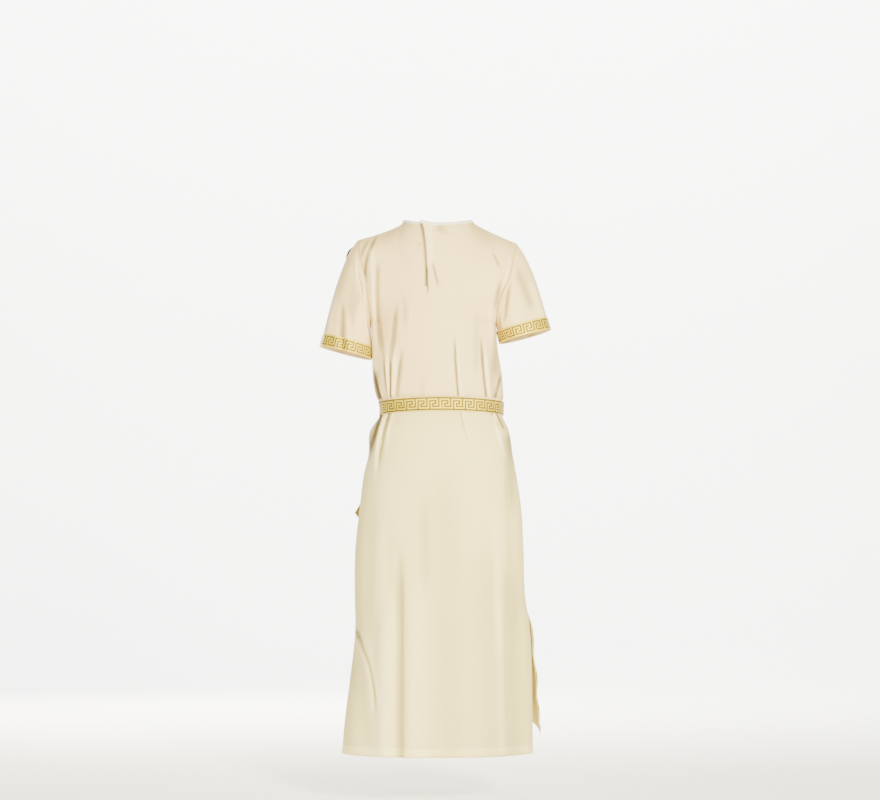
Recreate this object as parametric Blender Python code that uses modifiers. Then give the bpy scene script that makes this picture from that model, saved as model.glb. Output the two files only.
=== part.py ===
"""Roman noble costume for a child: a long tunic with short sleeves, ribbon belt and front drape.

Metres, +Z up. The front faces -Y and the wearer's left is +X. The origin is the middle of the
neck opening, level with the shoulder seams at the neck, where the wearer's shoulders carry it.
Every cloth piece is an open surface worked out from the tables below and thickened inwards.
"""
import math
from collections import namedtuple

import bmesh
import bpy
import numpy as np
from mathutils import Vector

# Cloth and ribbon walls, and the gaps between pieces
CLOTH_WALL = 0.0012
RIBBON_WALL = 0.0010
BINDING_WALL = 0.0008
SEAM_HALF_GAP = 0.0004
SHOULDER_HALF_GAP = 0.0007
SLEEVE_GAP = 0.0011
LAY_GAP = 0.0006

# Neck and shoulders
NECK_HALF = 0.059
NECK_DEPTH = {1: 0.052, -1: 0.070}
NECK_DROP = {1: 0.012, -1: 0.045}
NECK_SHARE = 8 / 18
TIP = {1: (0.1450, -0.0360), -1: (-0.1420, -0.0420)}
SHOULDER_CURVE = {1: 0.68, -1: 0.83}
BINDING_SHARE = 0.045
BINDING_ON_SEAM = 0.5
BINDING_CORNER = 0.4
BINDING_END = 0.22
NECK_POWER = 1.4
ARMHOLE_DEPTH = {1: 0.054, -1: 0.050}
ARMPIT = -0.190

# How the yoke rounds from the shoulders to the armpit: evenness of its columns, share of its
# drop that is even, and how soon the roundness of the chest sets in
YOKE_EVEN = 0.6
YOKE_DROP = 0.4
YOKE_ROUND = 0.5

# Belt, ribbon and hem
BELT_TOP = -0.325
BELT_BOTTOM = -0.3505
BELT_SAG = 0.0045
BELT_SAG_REACH = 0.06
BELT_REACH = 0.012
RIBBON = 0.025
HEM = -0.956
ROUNDNESS = 0.12
SEAM_CALM = 3.0
TINY = 1e-6

# The slit at the back of the neck
SLIT_COLUMN = 0.13
SLIT_ROW = 6
SLIT_LIFT = 0.0017
SLIT_LIFT_NECK = 0.0014
SLIT_UNDER = 0.0006
SLIT_OPEN = 0.0005
UNDERLAP = 0.010
UNDERLAP_NARROWS = 0.55
FLAP_COLUMNS = 4

# Sleeves: cuff line seen from behind, from its inner to its outer end
Cuff = namedtuple("Cuff", "inner_x inner_z outer_x outer_z half_depth")
CUFF = {
    1: Cuff(0.1212, -0.2530, 0.2130, -0.2295, 0.047),
    -1: Cuff(-0.1120, -0.2240, -0.2030, -0.1995, 0.047),
}
CUFF_TRIM = 0.0225
SLEEVE_ROWS = 11
SLEEVE_ROW_POWER = 1.15

# Directions in which a sleeve leaves the armhole, as (outwards, downwards) shares
SLEEVE_LEAVE_UNDER = (0.07, 1.0)
SLEEVE_LEAVE_TOP = (0.52, 0.62)
SLEEVE_BULGE = 0.26
SLEEVE_TOP_END = (0.125, -0.115)

# Brooch on the front of the left shoulder
BROOCH_RADIUS = 0.0145
BROOCH_THICK = 0.0030
BROOCH_GAP = 0.0004
BROOCH_RIM = 0.0009
BROOCH_SIDES = 24
BROOCH_ROW = 2
BROOCH_COLUMN = -2

# Sections of the tunic below the armpit: widths to the wearer's left and right, depth of the
# back and of the front
Section = namedtuple("Section", "z left right back front")
SECTIONS = [
    Section(-0.190, 0.1150, 0.1050, 0.0860, 0.0900),
    Section(-0.225, 0.1150, 0.1070, 0.0850, 0.0905),
    Section(-0.250, 0.1150, 0.1105, 0.0840, 0.0900),
    Section(-0.275, 0.1180, 0.1150, 0.0830, 0.0890),
    Section(-0.300, 0.1150, 0.1170, 0.0825, 0.0875),
    Section(-0.316, 0.1110, 0.1180, 0.0815, 0.0860),
    Section(-0.325, 0.1068, 0.1165, 0.0780, 0.0830),
    Section(-0.3505, 0.1055, 0.1160, 0.0780, 0.0830),
    Section(-0.378, 0.1215, 0.1270, 0.0870, 0.0900),
    Section(-0.425, 0.1253, 0.1345, 0.0960, 0.0950),
    Section(-0.461, 0.1336, 0.1410, 0.1000, 0.0980),
    Section(-0.518, 0.1404, 0.1494, 0.1030, 0.1000),
    Section(-0.590, 0.1485, 0.1535, 0.1060, 0.1030),
    Section(-0.680, 0.1494, 0.1566, 0.1080, 0.1070),
    Section(-0.734, 0.1483, 0.1640, 0.1100, 0.1090),
    Section(-0.823, 0.1571, 0.1683, 0.1130, 0.1120),
    Section(-0.895, 0.1661, 0.1690, 0.1160, 0.1150),
    Section(-0.956, 0.1715, 0.1696, 0.1190, 0.1180),
]

# The armhole seam from the shoulder tip to the armpit
Armhole = namedtuple("Armhole", "z left right")
ARMHOLES = [
    Armhole(-0.190, 0.1150, 0.1050),
    Armhole(-0.165, 0.1180, 0.1060),
    Armhole(-0.135, 0.1260, 0.1150),
    Armhole(-0.110, 0.1300, 0.1270),
    Armhole(-0.076, 0.1400, 0.1340),
    Armhole(-0.036, 0.1450, 0.1420),
]

# Largest folds, as soft lines on one face: +1 is the back and -1 the front. A positive depth
# is a ridge and a negative one a trough. A fold fades out over fade at each end.
Fold = namedtuple("Fold", "face x_top z_top x_low z_low half_width depth fade")
FOLDS = [
    Fold(1, 0.067, -0.600, 0.066, -0.990, 0.013, -0.0070, 0.120),
    Fold(1, 0.090, -0.640, 0.094, -0.990, 0.016, 0.0045, 0.120),
    Fold(1, 0.040, -0.620, 0.038, -0.990, 0.018, 0.0040, 0.120),
    Fold(1, 0.146, -0.730, 0.108, -0.900, 0.012, -0.0050, 0.060),
    Fold(1, -0.128, -0.600, -0.138, -0.990, 0.015, -0.0050, 0.100),
    Fold(1, -0.075, -0.560, -0.082, -0.990, 0.026, 0.0030, 0.120),
    Fold(1, -0.010, -0.400, -0.020, -0.990, 0.030, -0.0025, 0.140),
    Fold(1, 0.086, -0.230, 0.085, -0.322, 0.007, -0.0030, 0.040),
    Fold(1, 0.063, -0.180, 0.073, -0.322, 0.008, -0.0030, 0.060),
    Fold(1, 0.110, -0.090, 0.112, -0.322, 0.007, 0.0030, 0.040),
    Fold(1, -0.030, -0.210, -0.036, -0.322, 0.008, -0.0022, 0.050),
    Fold(1, -0.077, -0.200, -0.089, -0.322, 0.008, -0.0030, 0.050),
    Fold(1, -0.108, -0.215, -0.113, -0.322, 0.006, -0.0025, 0.040),
    Fold(1, 0.084, -0.352, 0.104, -0.500, 0.010, -0.0045, 0.030),
    Fold(1, 0.096, -0.352, 0.118, -0.470, 0.007, 0.0030, 0.030),
    Fold(1, -0.100, -0.352, -0.120, -0.440, 0.008, -0.0035, 0.025),
    Fold(1, -0.044, -0.352, -0.070, -0.430, 0.010, 0.0020, 0.025),
    Fold(-1, 0.075, -0.600, 0.080, -0.990, 0.016, -0.0060, 0.120),
    Fold(-1, 0.030, -0.560, 0.026, -0.990, 0.020, 0.0045, 0.120),
    Fold(-1, 0.120, -0.600, 0.130, -0.990, 0.016, 0.0035, 0.120),
    Fold(-1, 0.060, -0.200, 0.066, -0.322, 0.012, -0.0030, 0.050),
    Fold(-1, 0.090, -0.220, 0.096, -0.322, 0.010, 0.0025, 0.050),
    Fold(-1, 0.052, -0.352, 0.075, -0.500, 0.014, -0.0040, 0.030),
    Fold(-1, 0.084, -0.352, 0.108, -0.470, 0.012, 0.0030, 0.030),
]

# The front drape: how far round it reaches at each height, as shares of the front panel. A
# share of 1 is the wearer's left side seam, -1 the right one, and past -1 is the back.
Reach = namedtuple("Reach", "h inner outer")
DRAPE_CHEST = [
    Reach(-0.004, 0.940, 0.520),
    Reach(-0.060, 0.800, 0.250),
    Reach(-0.120, 0.600, -0.100),
    Reach(-0.190, 0.350, -0.450),
    Reach(-0.260, 0.080, -0.740),
    Reach(-0.325, -0.180, -0.830),
    Reach(-0.3505, -0.220, -0.830),
    Reach(-0.420, -0.230, -0.830),
    Reach(-0.560, -0.200, -0.830),
    Reach(-0.690, -0.160, -0.840),
    Reach(-0.750, -0.150, -0.980),
    Reach(-0.790, -0.150, -0.950),
    Reach(-0.830, -0.145, -1.000),
    Reach(-0.855, -0.145, -0.985),
    Reach(-0.885, -0.140, -1.010),
    Reach(-0.926, -0.140, -1.000),
]
DRAPE_TOP = -0.004
DRAPE_END_INNER = -0.800
DRAPE_END_OUTER = -0.926
DRAPE_GAP = 0.0009
DRAPE_WALL = 0.0012
DRAPE_PLEATS = 5
DRAPE_PLEAT = 0.0035
DRAPE_COLUMNS = 12
DRAPE_HANG = 0.004
DRAPE_FIRST_ROW = -0.02
DRAPE_TRIM_TOP = -0.358
DRAPE_TRIM_END = -0.905
DRAPE_TRIM_COLUMNS = 2

# Shares of the drape's width where its pleats calm and its edge begins to wave
CALM_START = 0.60
CALM_SPAN = 0.30
WAVE_START = 0.72

# Where the belt makes room for the drape: from this far round the front, over these distances
UNDER_START = 0.09
UNDER_SHIFT = 0.012
UNDER_SPAN = 0.014
UNDER_SIDE = 0.010
UNDER_SIDE_SPAN = 0.018
UNDER_SLACK = 0.0004

# How far the wavy edge of the drape stands off the skirt at each height
Wave = namedtuple("Wave", "z out")
DRAPE_EDGE = [
    Wave(-0.352, 0.0000),
    Wave(-0.560, 0.0010),
    Wave(-0.700, 0.0020),
    Wave(-0.745, 0.0055),
    Wave(-0.785, 0.0030),
    Wave(-0.828, 0.0095),
    Wave(-0.855, 0.0060),
    Wave(-0.885, 0.0115),
    Wave(-0.900, 0.0110),
    Wave(-0.915, 0.0145),
    Wave(-0.926, 0.0120),
]

# Belt ends, as stations along each: angle round the body from the middle of the back, height,
# the turn of the ribbon from upright, and its distance from the cloth
Station = namedtuple("Station", "angle z turn out")
TAIL_LONG = [
    Station(121.0, -0.3380, 6.0, 0.0027),
    Station(120.5, -0.3520, 8.0, 0.0027),
    Station(118.8, -0.3750, 9.0, 0.0020),
    Station(115.2, -0.4200, 10.0, 0.0019),
    Station(111.2, -0.4650, 11.0, 0.0020),
    Station(107.8, -0.5000, 14.0, 0.0022),
    Station(105.4, -0.5190, 18.0, 0.0032),
    Station(102.0, -0.5344, 22.0, 0.0085),
]
TAIL_SHORT = [
    Station(131.5, -0.3380, -2.0, 0.0042),
    Station(132.5, -0.3520, -3.0, 0.0042),
    Station(134.5, -0.3750, -4.0, 0.0036),
    Station(135.8, -0.4000, -5.0, 0.0022),
    Station(137.0, -0.4500, -6.0, 0.0019),
    Station(138.0, -0.5150, -6.0, 0.0021),
]
TAIL_STEP = 0.013
TAIL_RADIUS = 0.115
KNOT_ANGLE = 126.0
KNOT_HALF = (0.0200, 0.0065, 0.0155)
KNOT_OUT = 0.0112
TAIL_ACROSS = (-0.5, -0.25, 0.0, 0.25, 0.5)
STEP_T = 0.004
STEP_H = 0.0015
SEAM_SHARE = 0.99

# Rows and columns of the panels
YOKE_SHARES = [0.0, BINDING_SHARE, 0.12, 0.20, 0.29, 0.38, 0.47, 0.57, 0.68, 0.79, 0.90, 1.0]
BACK_COLUMNS = 36
FRONT_COLUMNS = 24

# Colours as (red, green, blue, roughness, metallic)
CREAM = (0.86, 0.79, 0.62, 0.78, 0.0)
CREAM_LIGHT = (0.90, 0.84, 0.68, 0.75, 0.0)
GOLD_RIBBON = (0.76, 0.62, 0.22, 0.45, 0.25)
DARK_METAL = (0.12, 0.11, 0.09, 0.40, 0.9)


# Reading the tables


def read(table, key, column, where):
    """Value of a column at a place, on a smooth curve through the rows of a table."""
    rows = sorted(table, key=lambda row: getattr(row, key))
    places = [getattr(row, key) for row in rows]
    values = [getattr(row, column) for row in rows]
    slopes = np.gradient(values, places)
    where = min(max(where, places[0]), places[-1])
    index = max(i for i in range(len(rows) - 1) if places[i] <= where)
    span = places[index + 1] - places[index]
    f = (where - places[index]) / span
    start, end = values[index], values[index + 1]
    lean_start, lean_end = slopes[index] * span, slopes[index + 1] * span
    return (start * (1 + 2 * f) * (1 - f) ** 2 + lean_start * f * (1 - f) ** 2
            + end * f * f * (3 - 2 * f) + lean_end * f * f * (f - 1))


def blend(start, end, share):
    return start + (end - start) * share


def smooth_step(share):
    share = min(max(share, 0.0), 1.0)
    return share * share * (3 - 2 * share)


# The surface of the tunic


def belt_share(z):
    """1 under the belt, fading to 0 a little above and below it."""
    away = max(z - BELT_TOP, BELT_BOTTOM - z, 0.0)
    return 1 - smooth_step(away / BELT_REACH)


def fold_depth(face, x, z):
    """How far the folds move one point of a face outwards."""
    total = 0.0
    for fold in FOLDS:
        if fold.face != face:
            continue
        share = (fold.z_top - z) / (fold.z_top - fold.z_low)
        line = blend(fold.x_top, fold.x_low, share)
        ends = smooth_step((fold.z_top - z) / fold.fade)
        ends *= smooth_step((z - fold.z_low) / fold.fade)
        total += fold.depth * ends * math.exp(-((x - line) / fold.half_width) ** 2)
    return total * (1 - belt_share(z))


def tube_point(angle, z):
    """Point of the tunic below the armpit; the angle runs from the middle of the back."""
    left = read(SECTIONS, "z", "left", z)
    right = read(SECTIONS, "z", "right", z)
    face = 1 if math.cos(angle) >= 0 else -1
    depth = read(SECTIONS, "z", "back" if face == 1 else "front", z)
    across, along = math.sin(angle), math.cos(angle)
    x = (left - right) / 2 + (left + right) / 2 * across
    y = depth * along * (1 + ROUNDNESS * across * across)
    push = fold_depth(face, x, z) * min(1.0, abs(along) * SEAM_CALM)
    sag = BELT_SAG * across * across * math.exp(-((z - BELT_TOP) / BELT_SAG_REACH) ** 2)
    return np.array([x + push * across, y + push * along, z - sag])


def top_edge(face, t):
    """Point of the neck edge or of the shoulder seam at a column."""
    side = 1 if t >= 0 else -1
    if abs(t) <= NECK_SHARE + TINY:
        turn = t / NECK_SHARE * math.pi / 2
        return np.array([NECK_HALF * math.sin(turn), NECK_DEPTH[face] * math.cos(turn),
                         -NECK_DROP[face] * math.cos(turn) ** NECK_POWER])
    share = (abs(t) - NECK_SHARE) / (1 - NECK_SHARE)
    tip_x, tip_z = TIP[side]
    return np.array([blend(side * NECK_HALF, tip_x, share), 0.0,
                     tip_z * share ** SHOULDER_CURVE[side]])


def yoke_base(face, t, s):
    """Smooth part of the tunic above the armpit: s is 0 at the top and 1 at the armpit."""
    edges = {}
    for side, column in ((1, "left"), (-1, "right")):
        z = blend(TIP[side][1], ARMPIT, (1 - math.cos(math.pi * s)) / 2)
        edges[side] = (side * read(ARMHOLES, "z", column, z), z)
    middle = (edges[1][0] + edges[-1][0]) / 2
    half = (edges[1][0] - edges[-1][0]) / 2
    even = YOKE_EVEN * (1 - s ** 3)
    across = (1 - even) * math.sin(t * math.pi / 2) + even * t
    edge_z = blend(edges[-1][1], edges[1][1], (across + 1) / 2)
    edge_y = ARMHOLE_DEPTH[face] * math.sin(math.pi * s)
    depth = read(SECTIONS, "z", "back" if face == 1 else "front", ARMPIT)
    centre_y = blend(NECK_DEPTH[face], depth, math.sin(s * math.pi / 2))
    drop = YOKE_DROP * s + (1 - YOKE_DROP) * (1 - math.cos(s * math.pi / 2))
    centre_z = blend(-NECK_DROP[face], ARMPIT, drop)
    crown = max(0.0, 1 - across * across)
    full = s ** 4
    round_off = crown ** (1 - YOKE_ROUND * full) * (1 + ROUNDNESS * across * across * full)
    return np.array([middle + half * across, edge_y + (centre_y - edge_y) * round_off,
                     edge_z + (centre_z - edge_z) * crown])


def panel_point(face, t, h):
    """Point of the back (+1) or front (-1) panel: t runs from side to side, h is the height.

    Above the armpit the rows bend up to the shoulder seams and the neck edge, which are h = 0.
    """
    if h <= ARMPIT:
        angle = t * math.pi / 2 if face == 1 else math.pi - t * math.pi / 2
        point = tube_point(angle, h)
    else:
        s = h / ARMPIT
        point = yoke_base(face, t, s)
        point += (top_edge(face, t) - yoke_base(face, t, 0.0)) * (1 - s) ** 3
        point[1] += fold_depth(face, point[0], point[2]) * smooth_step(s * SEAM_CALM)
        point[1] += (SHOULDER_HALF_GAP - SEAM_HALF_GAP) * (1 - s)
        point[1] *= face
    point[1] += face * SEAM_HALF_GAP
    return point


def spaced(start, end, count):
    """Heights between two others, without the first one."""
    return [blend(start, end, (i + 1) / count) for i in range(count)]


def row_heights():
    heights = [share * ARMPIT for share in YOKE_SHARES]
    heights += spaced(ARMPIT, -0.300, 5)
    heights += spaced(-0.300, BELT_TOP, 3)
    heights += spaced(BELT_TOP, BELT_BOTTOM, 2)
    heights += spaced(BELT_BOTTOM, -0.378, 3)
    heights += spaced(-0.378, -0.460, 3)
    heights += spaced(-0.460, HEM, 14)
    return heights


def columns(count, slit=False):
    """Column shares across a panel, with one at each end of the neck and one at the slit."""
    shares = [2 * i / count - 1 for i in range(count + 1)]
    for wanted in (-NECK_SHARE, NECK_SHARE) + ((SLIT_COLUMN,) if slit else ()):
        nearest = min(range(len(shares)), key=lambda i: abs(shares[i] - wanted))
        shares[nearest] = wanted
    return shares


def neck_columns(count, slit=False):
    return [t for t in columns(count, slit) if abs(t) <= NECK_SHARE]


ROWS = row_heights()
BELT_ROWS = [i for i, h in enumerate(ROWS) if BELT_BOTTOM - TINY <= h <= BELT_TOP + TINY]


# Making solids


def grid_normals(points, closed=False):
    """Unit normals of a grid of points, rows by columns."""
    if closed:
        wrapped = np.concatenate([points[:, -1:], points, points[:, :1]], axis=1)
        along = np.gradient(wrapped, axis=1)[:, 1:-1]
    else:
        along = np.gradient(points, axis=1)
    down = np.gradient(points, axis=0)
    normals = np.cross(along, down)
    return normals / np.linalg.norm(normals, axis=2, keepdims=True)


def grid_bmesh(points, closed=False):
    """Open surface through a grid of points, rows by columns."""
    bm = bmesh.new()
    verts = [[bm.verts.new(point) for point in row] for row in points]
    count = len(verts[0])
    for upper, lower in zip(verts, verts[1:]):
        for i in range(count if closed else count - 1):
            j = (i + 1) % count
            bm.faces.new((upper[i], lower[i], lower[j], upper[j]))
    return bm, verts


def finish(name, bm, wall, look, outward):
    """Turn an open surface into a wall: its points are the outer face, the wall goes inwards.

    outward is a direction for each face centre, used to make the faces point out.
    """
    bm.normal_update()
    votes = sum(face.normal.dot(outward(face.calc_center_median())) for face in bm.faces)
    if votes < 0:
        bmesh.ops.reverse_faces(bm, faces=bm.faces[:])
    mesh = bpy.data.meshes.new(name)
    bm.to_mesh(mesh)
    bm.free()
    mesh.shade_smooth()
    mesh.set_sharp_from_angle(angle=math.radians(50))
    mesh.materials.append(material(name, look))
    piece = bpy.data.objects.new(name, mesh)
    solidify = piece.modifiers.new("wall", 'SOLIDIFY')
    solidify.thickness = wall
    solidify.offset = -1.0
    solidify.use_even_offset = False
    solidify.use_quality_normals = True
    parts.objects.link(piece)
    return piece


def material(name, look):
    red, green, blue, roughness, metallic = look
    made = bpy.data.materials.new(name)
    made.use_nodes = True
    shader = made.node_tree.nodes["Principled BSDF"]
    shader.inputs["Base Color"].default_value = (red, green, blue, 1.0)
    shader.inputs["Roughness"].default_value = roughness
    shader.inputs["Metallic"].default_value = metallic
    return made


def from_axis(centre):
    """Direction away from the upright middle line of the tunic."""
    return Vector((centre.x, centre.y, 0.001))


def from_sleeve(side):
    """Direction away from the middle line of a sleeve."""
    cuff = CUFF[side]
    low = Vector(((cuff.inner_x + cuff.outer_x) / 2, 0.0, (cuff.inner_z + cuff.outer_z) / 2))
    high = Vector((side * SLEEVE_TOP_END[0], 0.0, SLEEVE_TOP_END[1]))
    axis = (low - high).normalized()

    def away(centre):
        offset = centre - high
        return offset - axis * offset.dot(axis)
    return away


# Pieces of the tunic


def panel_grid(face, shares):
    return np.array([[panel_point(face, t, h) for t in shares] for h in ROWS])


def slit_lift(row):
    """How far the upper flap of the slit stands out at a row."""
    return SLIT_LIFT + SLIT_LIFT_NECK * (1 - row / SLIT_ROW) ** 2


def make_back():
    """The back panel, cut from the neck to the end of the slit, with its flaps lapped."""
    shares = columns(BACK_COLUMNS, slit=True)
    points = panel_grid(1, shares)
    normals = grid_normals(points)
    cut = shares.index(SLIT_COLUMN)
    upper = points.copy()
    for row in range(SLIT_ROW):
        for step in range(FLAP_COLUMNS):
            lift = slit_lift(row) * (1 - smooth_step(step / FLAP_COLUMNS))
            upper[row, cut - step] += normals[row, cut - step] * lift
    upper[SLIT_ROW - 1, cut, 0] -= SLIT_OPEN
    bm = bmesh.new()
    right = {}
    left = {}
    for row in range(len(ROWS)):
        for column in range(len(shares)):
            if column <= cut:
                right[row, column] = bm.verts.new(upper[row, column])
            if column > cut or (column == cut and row < SLIT_ROW):
                left[row, column] = bm.verts.new(points[row, column])
            elif column == cut:
                left[row, column] = right[row, column]
    left[SLIT_ROW - 1, cut].co.x += SLIT_OPEN
    for row in range(len(ROWS) - 1):
        for column in range(len(shares) - 1):
            side = right if column < cut else left
            bm.faces.new((side[row, column], side[row + 1, column],
                          side[row + 1, column + 1], side[row, column + 1]))
    tucked = []
    for row in range(SLIT_ROW - 1):
        width = UNDERLAP * (1 - UNDERLAP_NARROWS * row / SLIT_ROW)
        inwards = Vector(normals[row, cut] * SLIT_UNDER)
        edge = Vector(points[row, cut]) - inwards
        left[row, cut].co = edge
        place = edge - Vector((width, 0.0, 0.0)) - inwards / 2
        tucked.append(bm.verts.new(place))
    for row in range(SLIT_ROW - 2):
        bm.faces.new((tucked[row], tucked[row + 1], left[row + 1, cut], left[row, cut]))
    bm.faces.new((tucked[-1], left[SLIT_ROW - 1, cut], left[SLIT_ROW - 2, cut]))
    finish("back", bm, CLOTH_WALL, CREAM, from_axis)


def make_front():
    bm, _ = grid_bmesh(panel_grid(-1, columns(FRONT_COLUMNS)))
    finish("front", bm, CLOTH_WALL, CREAM, from_axis)


def armhole_ring(side):
    """Points of the armhole, from the shoulder tip down the back and up the front."""
    back = [panel_point(1, side, share * ARMPIT) for share in YOKE_SHARES]
    front = [panel_point(-1, side, share * ARMPIT) for share in YOKE_SHARES]
    ring = [(back[0] + front[0]) / 2] + back[1:-1]
    ring += [(back[-1] + front[-1]) / 2] + front[-2:0:-1]
    return [point + np.array([side * SLEEVE_GAP, 0.0, 0.0]) for point in ring]


def sleeve_shares(length):
    """Shares of a sleeve's length for its rows; the last two rows carry the ribbon."""
    trim = 1 - CUFF_TRIM / length
    shares = [trim * (i / SLEEVE_ROWS) ** SLEEVE_ROW_POWER for i in range(SLEEVE_ROWS + 1)]
    return shares + [(1 + trim) / 2, 1.0]


def sleeve_grid(side):
    """Rings from the armhole to the cuff."""
    cuff = CUFF[side]
    ring = armhole_ring(side)
    count = len(ring)
    inner = np.array([cuff.inner_x, 0.0, cuff.inner_z])
    outer = np.array([cuff.outer_x, 0.0, cuff.outer_z])
    centre, half = (inner + outer) / 2, (outer - inner) / 2
    width = np.linalg.norm(half)
    axis = np.array([-half[2], 0.0, half[0]]) / width
    axis *= -np.sign(axis[2])
    lines = []
    for i, start in enumerate(ring):
        turn = 2 * math.pi * i / count
        end = centre + half * math.cos(turn)
        end = end + np.array([0.0, cuff.half_depth * math.sin(turn), 0.0])
        top = (1 + math.cos(turn)) / 2
        outwards, downwards = blend(np.array(SLEEVE_LEAVE_UNDER), np.array(SLEEVE_LEAVE_TOP), top)
        reach = np.linalg.norm(end - start)
        leave = np.array([side * outwards, SLEEVE_BULGE * math.sin(turn), -downwards]) * reach
        arrive = axis * reach
        lines.append([start * (1 + 2 * share) * (1 - share) ** 2
                      + leave * share * (1 - share) ** 2
                      + end * share * share * (3 - 2 * share)
                      + arrive * share * share * (share - 1)
                      for share in sleeve_shares(reach)])
    return np.array(lines).transpose(1, 0, 2)


def make_sleeve(side):
    name = "sleeve_left" if side == 1 else "sleeve_right"
    grid = sleeve_grid(side)
    bm, _ = grid_bmesh(grid, closed=True)
    finish(name, bm, CLOTH_WALL, CREAM, from_sleeve(side))
    return grid


def moved_out(points, normals, gap, wall):
    """Outer face of a band that lies on a surface."""
    return points + normals * (gap + wall)


def facing_out(points, normals, away):
    """Normals turned to point away from the middle."""
    middle = points.reshape(-1, 3)
    directions = [away(Vector(point)) for point in middle]
    votes = sum(Vector(n).dot(d) for n, d in zip(normals.reshape(-1, 3), directions))
    return normals if votes > 0 else -normals


def make_sleeve_trim(side, grid):
    name = "sleeve_trim_left" if side == 1 else "sleeve_trim_right"
    away = from_sleeve(side)
    normals = facing_out(grid, grid_normals(grid, closed=True), away)
    band = moved_out(grid[-3:], normals[-3:], LAY_GAP, RIBBON_WALL)
    bm, _ = grid_bmesh(band, closed=True)
    finish(name, bm, RIBBON_WALL, GOLD_RIBBON, away)


def ring_of(back, front):
    """One closed ring of columns from rows of both panels, their side seams made one."""
    left = (back[:, -1:] + front[:, -1:]) / 2
    right = (back[:, :1] + front[:, :1]) / 2
    return np.concatenate([right, back[:, 1:-1], left, front[:, -2:0:-1]], axis=1)


def make_belt():
    back = panel_grid(1, columns(BACK_COLUMNS, slit=True))[BELT_ROWS]
    front = panel_grid(-1, columns(FRONT_COLUMNS))[BELT_ROWS]
    ring = ring_of(back, front)
    normals = facing_out(ring, grid_normals(ring, closed=True), from_axis)
    under = np.array([drape_under(point) for point in ring[0]])
    band = ring + normals * (LAY_GAP + RIBBON_WALL + under)[None, :, None]
    bm, _ = grid_bmesh(band, closed=True)
    finish("belt", bm, RIBBON_WALL, GOLD_RIBBON, from_axis)


def drape_under(point):
    """Room that the belt leaves for the drape below it."""
    start = tube_point(math.pi * (1 + UNDER_START), BELT_TOP)[0] + UNDER_SHIFT
    share = smooth_step((start + UNDER_SPAN - point[0]) / UNDER_SPAN)
    side_end = smooth_step((UNDER_SIDE - point[1]) / UNDER_SIDE_SPAN)
    return (DRAPE_GAP + DRAPE_WALL + UNDER_SLACK) * share * side_end


def shoulder_seam(side):
    """The two points of the neck binding that lie on a shoulder seam."""
    following = min(t for t in columns(FRONT_COLUMNS) if t > NECK_SHARE)
    neck, seam = top_edge(-1, side * NECK_SHARE), top_edge(-1, side * following)
    return np.array([[neck], [blend(neck, seam, BINDING_ON_SEAM)]])


def make_neck_binding():
    """A strip round the neck edge, open at the slit."""
    shares = neck_columns(BACK_COLUMNS, slit=True)
    heights = [0.0, BINDING_SHARE * ARMPIT]
    back = np.array([[panel_point(1, t, h) for t in shares] for h in heights])
    front = np.array([[panel_point(-1, t, h) for t in neck_columns(FRONT_COLUMNS)]
                      for h in heights])
    cut = shares.index(SLIT_COLUMN)
    for rows in (back, front):
        rows[0, 0] = blend(rows[0, 0], rows[0, 1], BINDING_CORNER)
        rows[0, -1] = blend(rows[0, -1], rows[0, -2], BINDING_CORNER)
    right, left = shoulder_seam(-1), shoulder_seam(1)
    strip = np.concatenate([back[:, cut::-1], right, front, left, back[:, :cut:-1],
                            back[:, cut:cut + 1]], axis=1)
    normals = facing_out(strip, grid_normals(strip), from_axis)
    lift = np.full(strip.shape[1], 0.0)
    for step in range(FLAP_COLUMNS):
        lift[step] = slit_lift(0) * (1 - smooth_step(step / FLAP_COLUMNS))
    strip[:, -1] = blend(strip[:, -1], strip[:, -2], BINDING_END)
    out = strip + normals * (LAY_GAP + BINDING_WALL + lift)[None, :, None]
    bm, _ = grid_bmesh(out)
    finish("neck_binding", bm, BINDING_WALL, CREAM_LIGHT, from_axis)


# The front drape, the belt ends and the brooch


def front_outside(t, h, out):
    """Point at a distance outside the front; past the side seam it goes on round the back."""
    def surface(share, height):
        if height > ARMPIT:
            return panel_point(-1, share, height)
        return tube_point(math.pi - share * math.pi / 2, height)
    along = surface(min(t + STEP_T, SEAM_SHARE), h) - surface(t - STEP_T, h)
    down = surface(t, h - STEP_H) - surface(t, min(h + STEP_H, 0.0))
    normal = np.cross(along, down)
    normal /= np.linalg.norm(normal)
    point = surface(t, h)
    if normal[0] * point[0] + normal[1] * point[1] < 0:
        normal = -normal
    return point + normal * out


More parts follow.
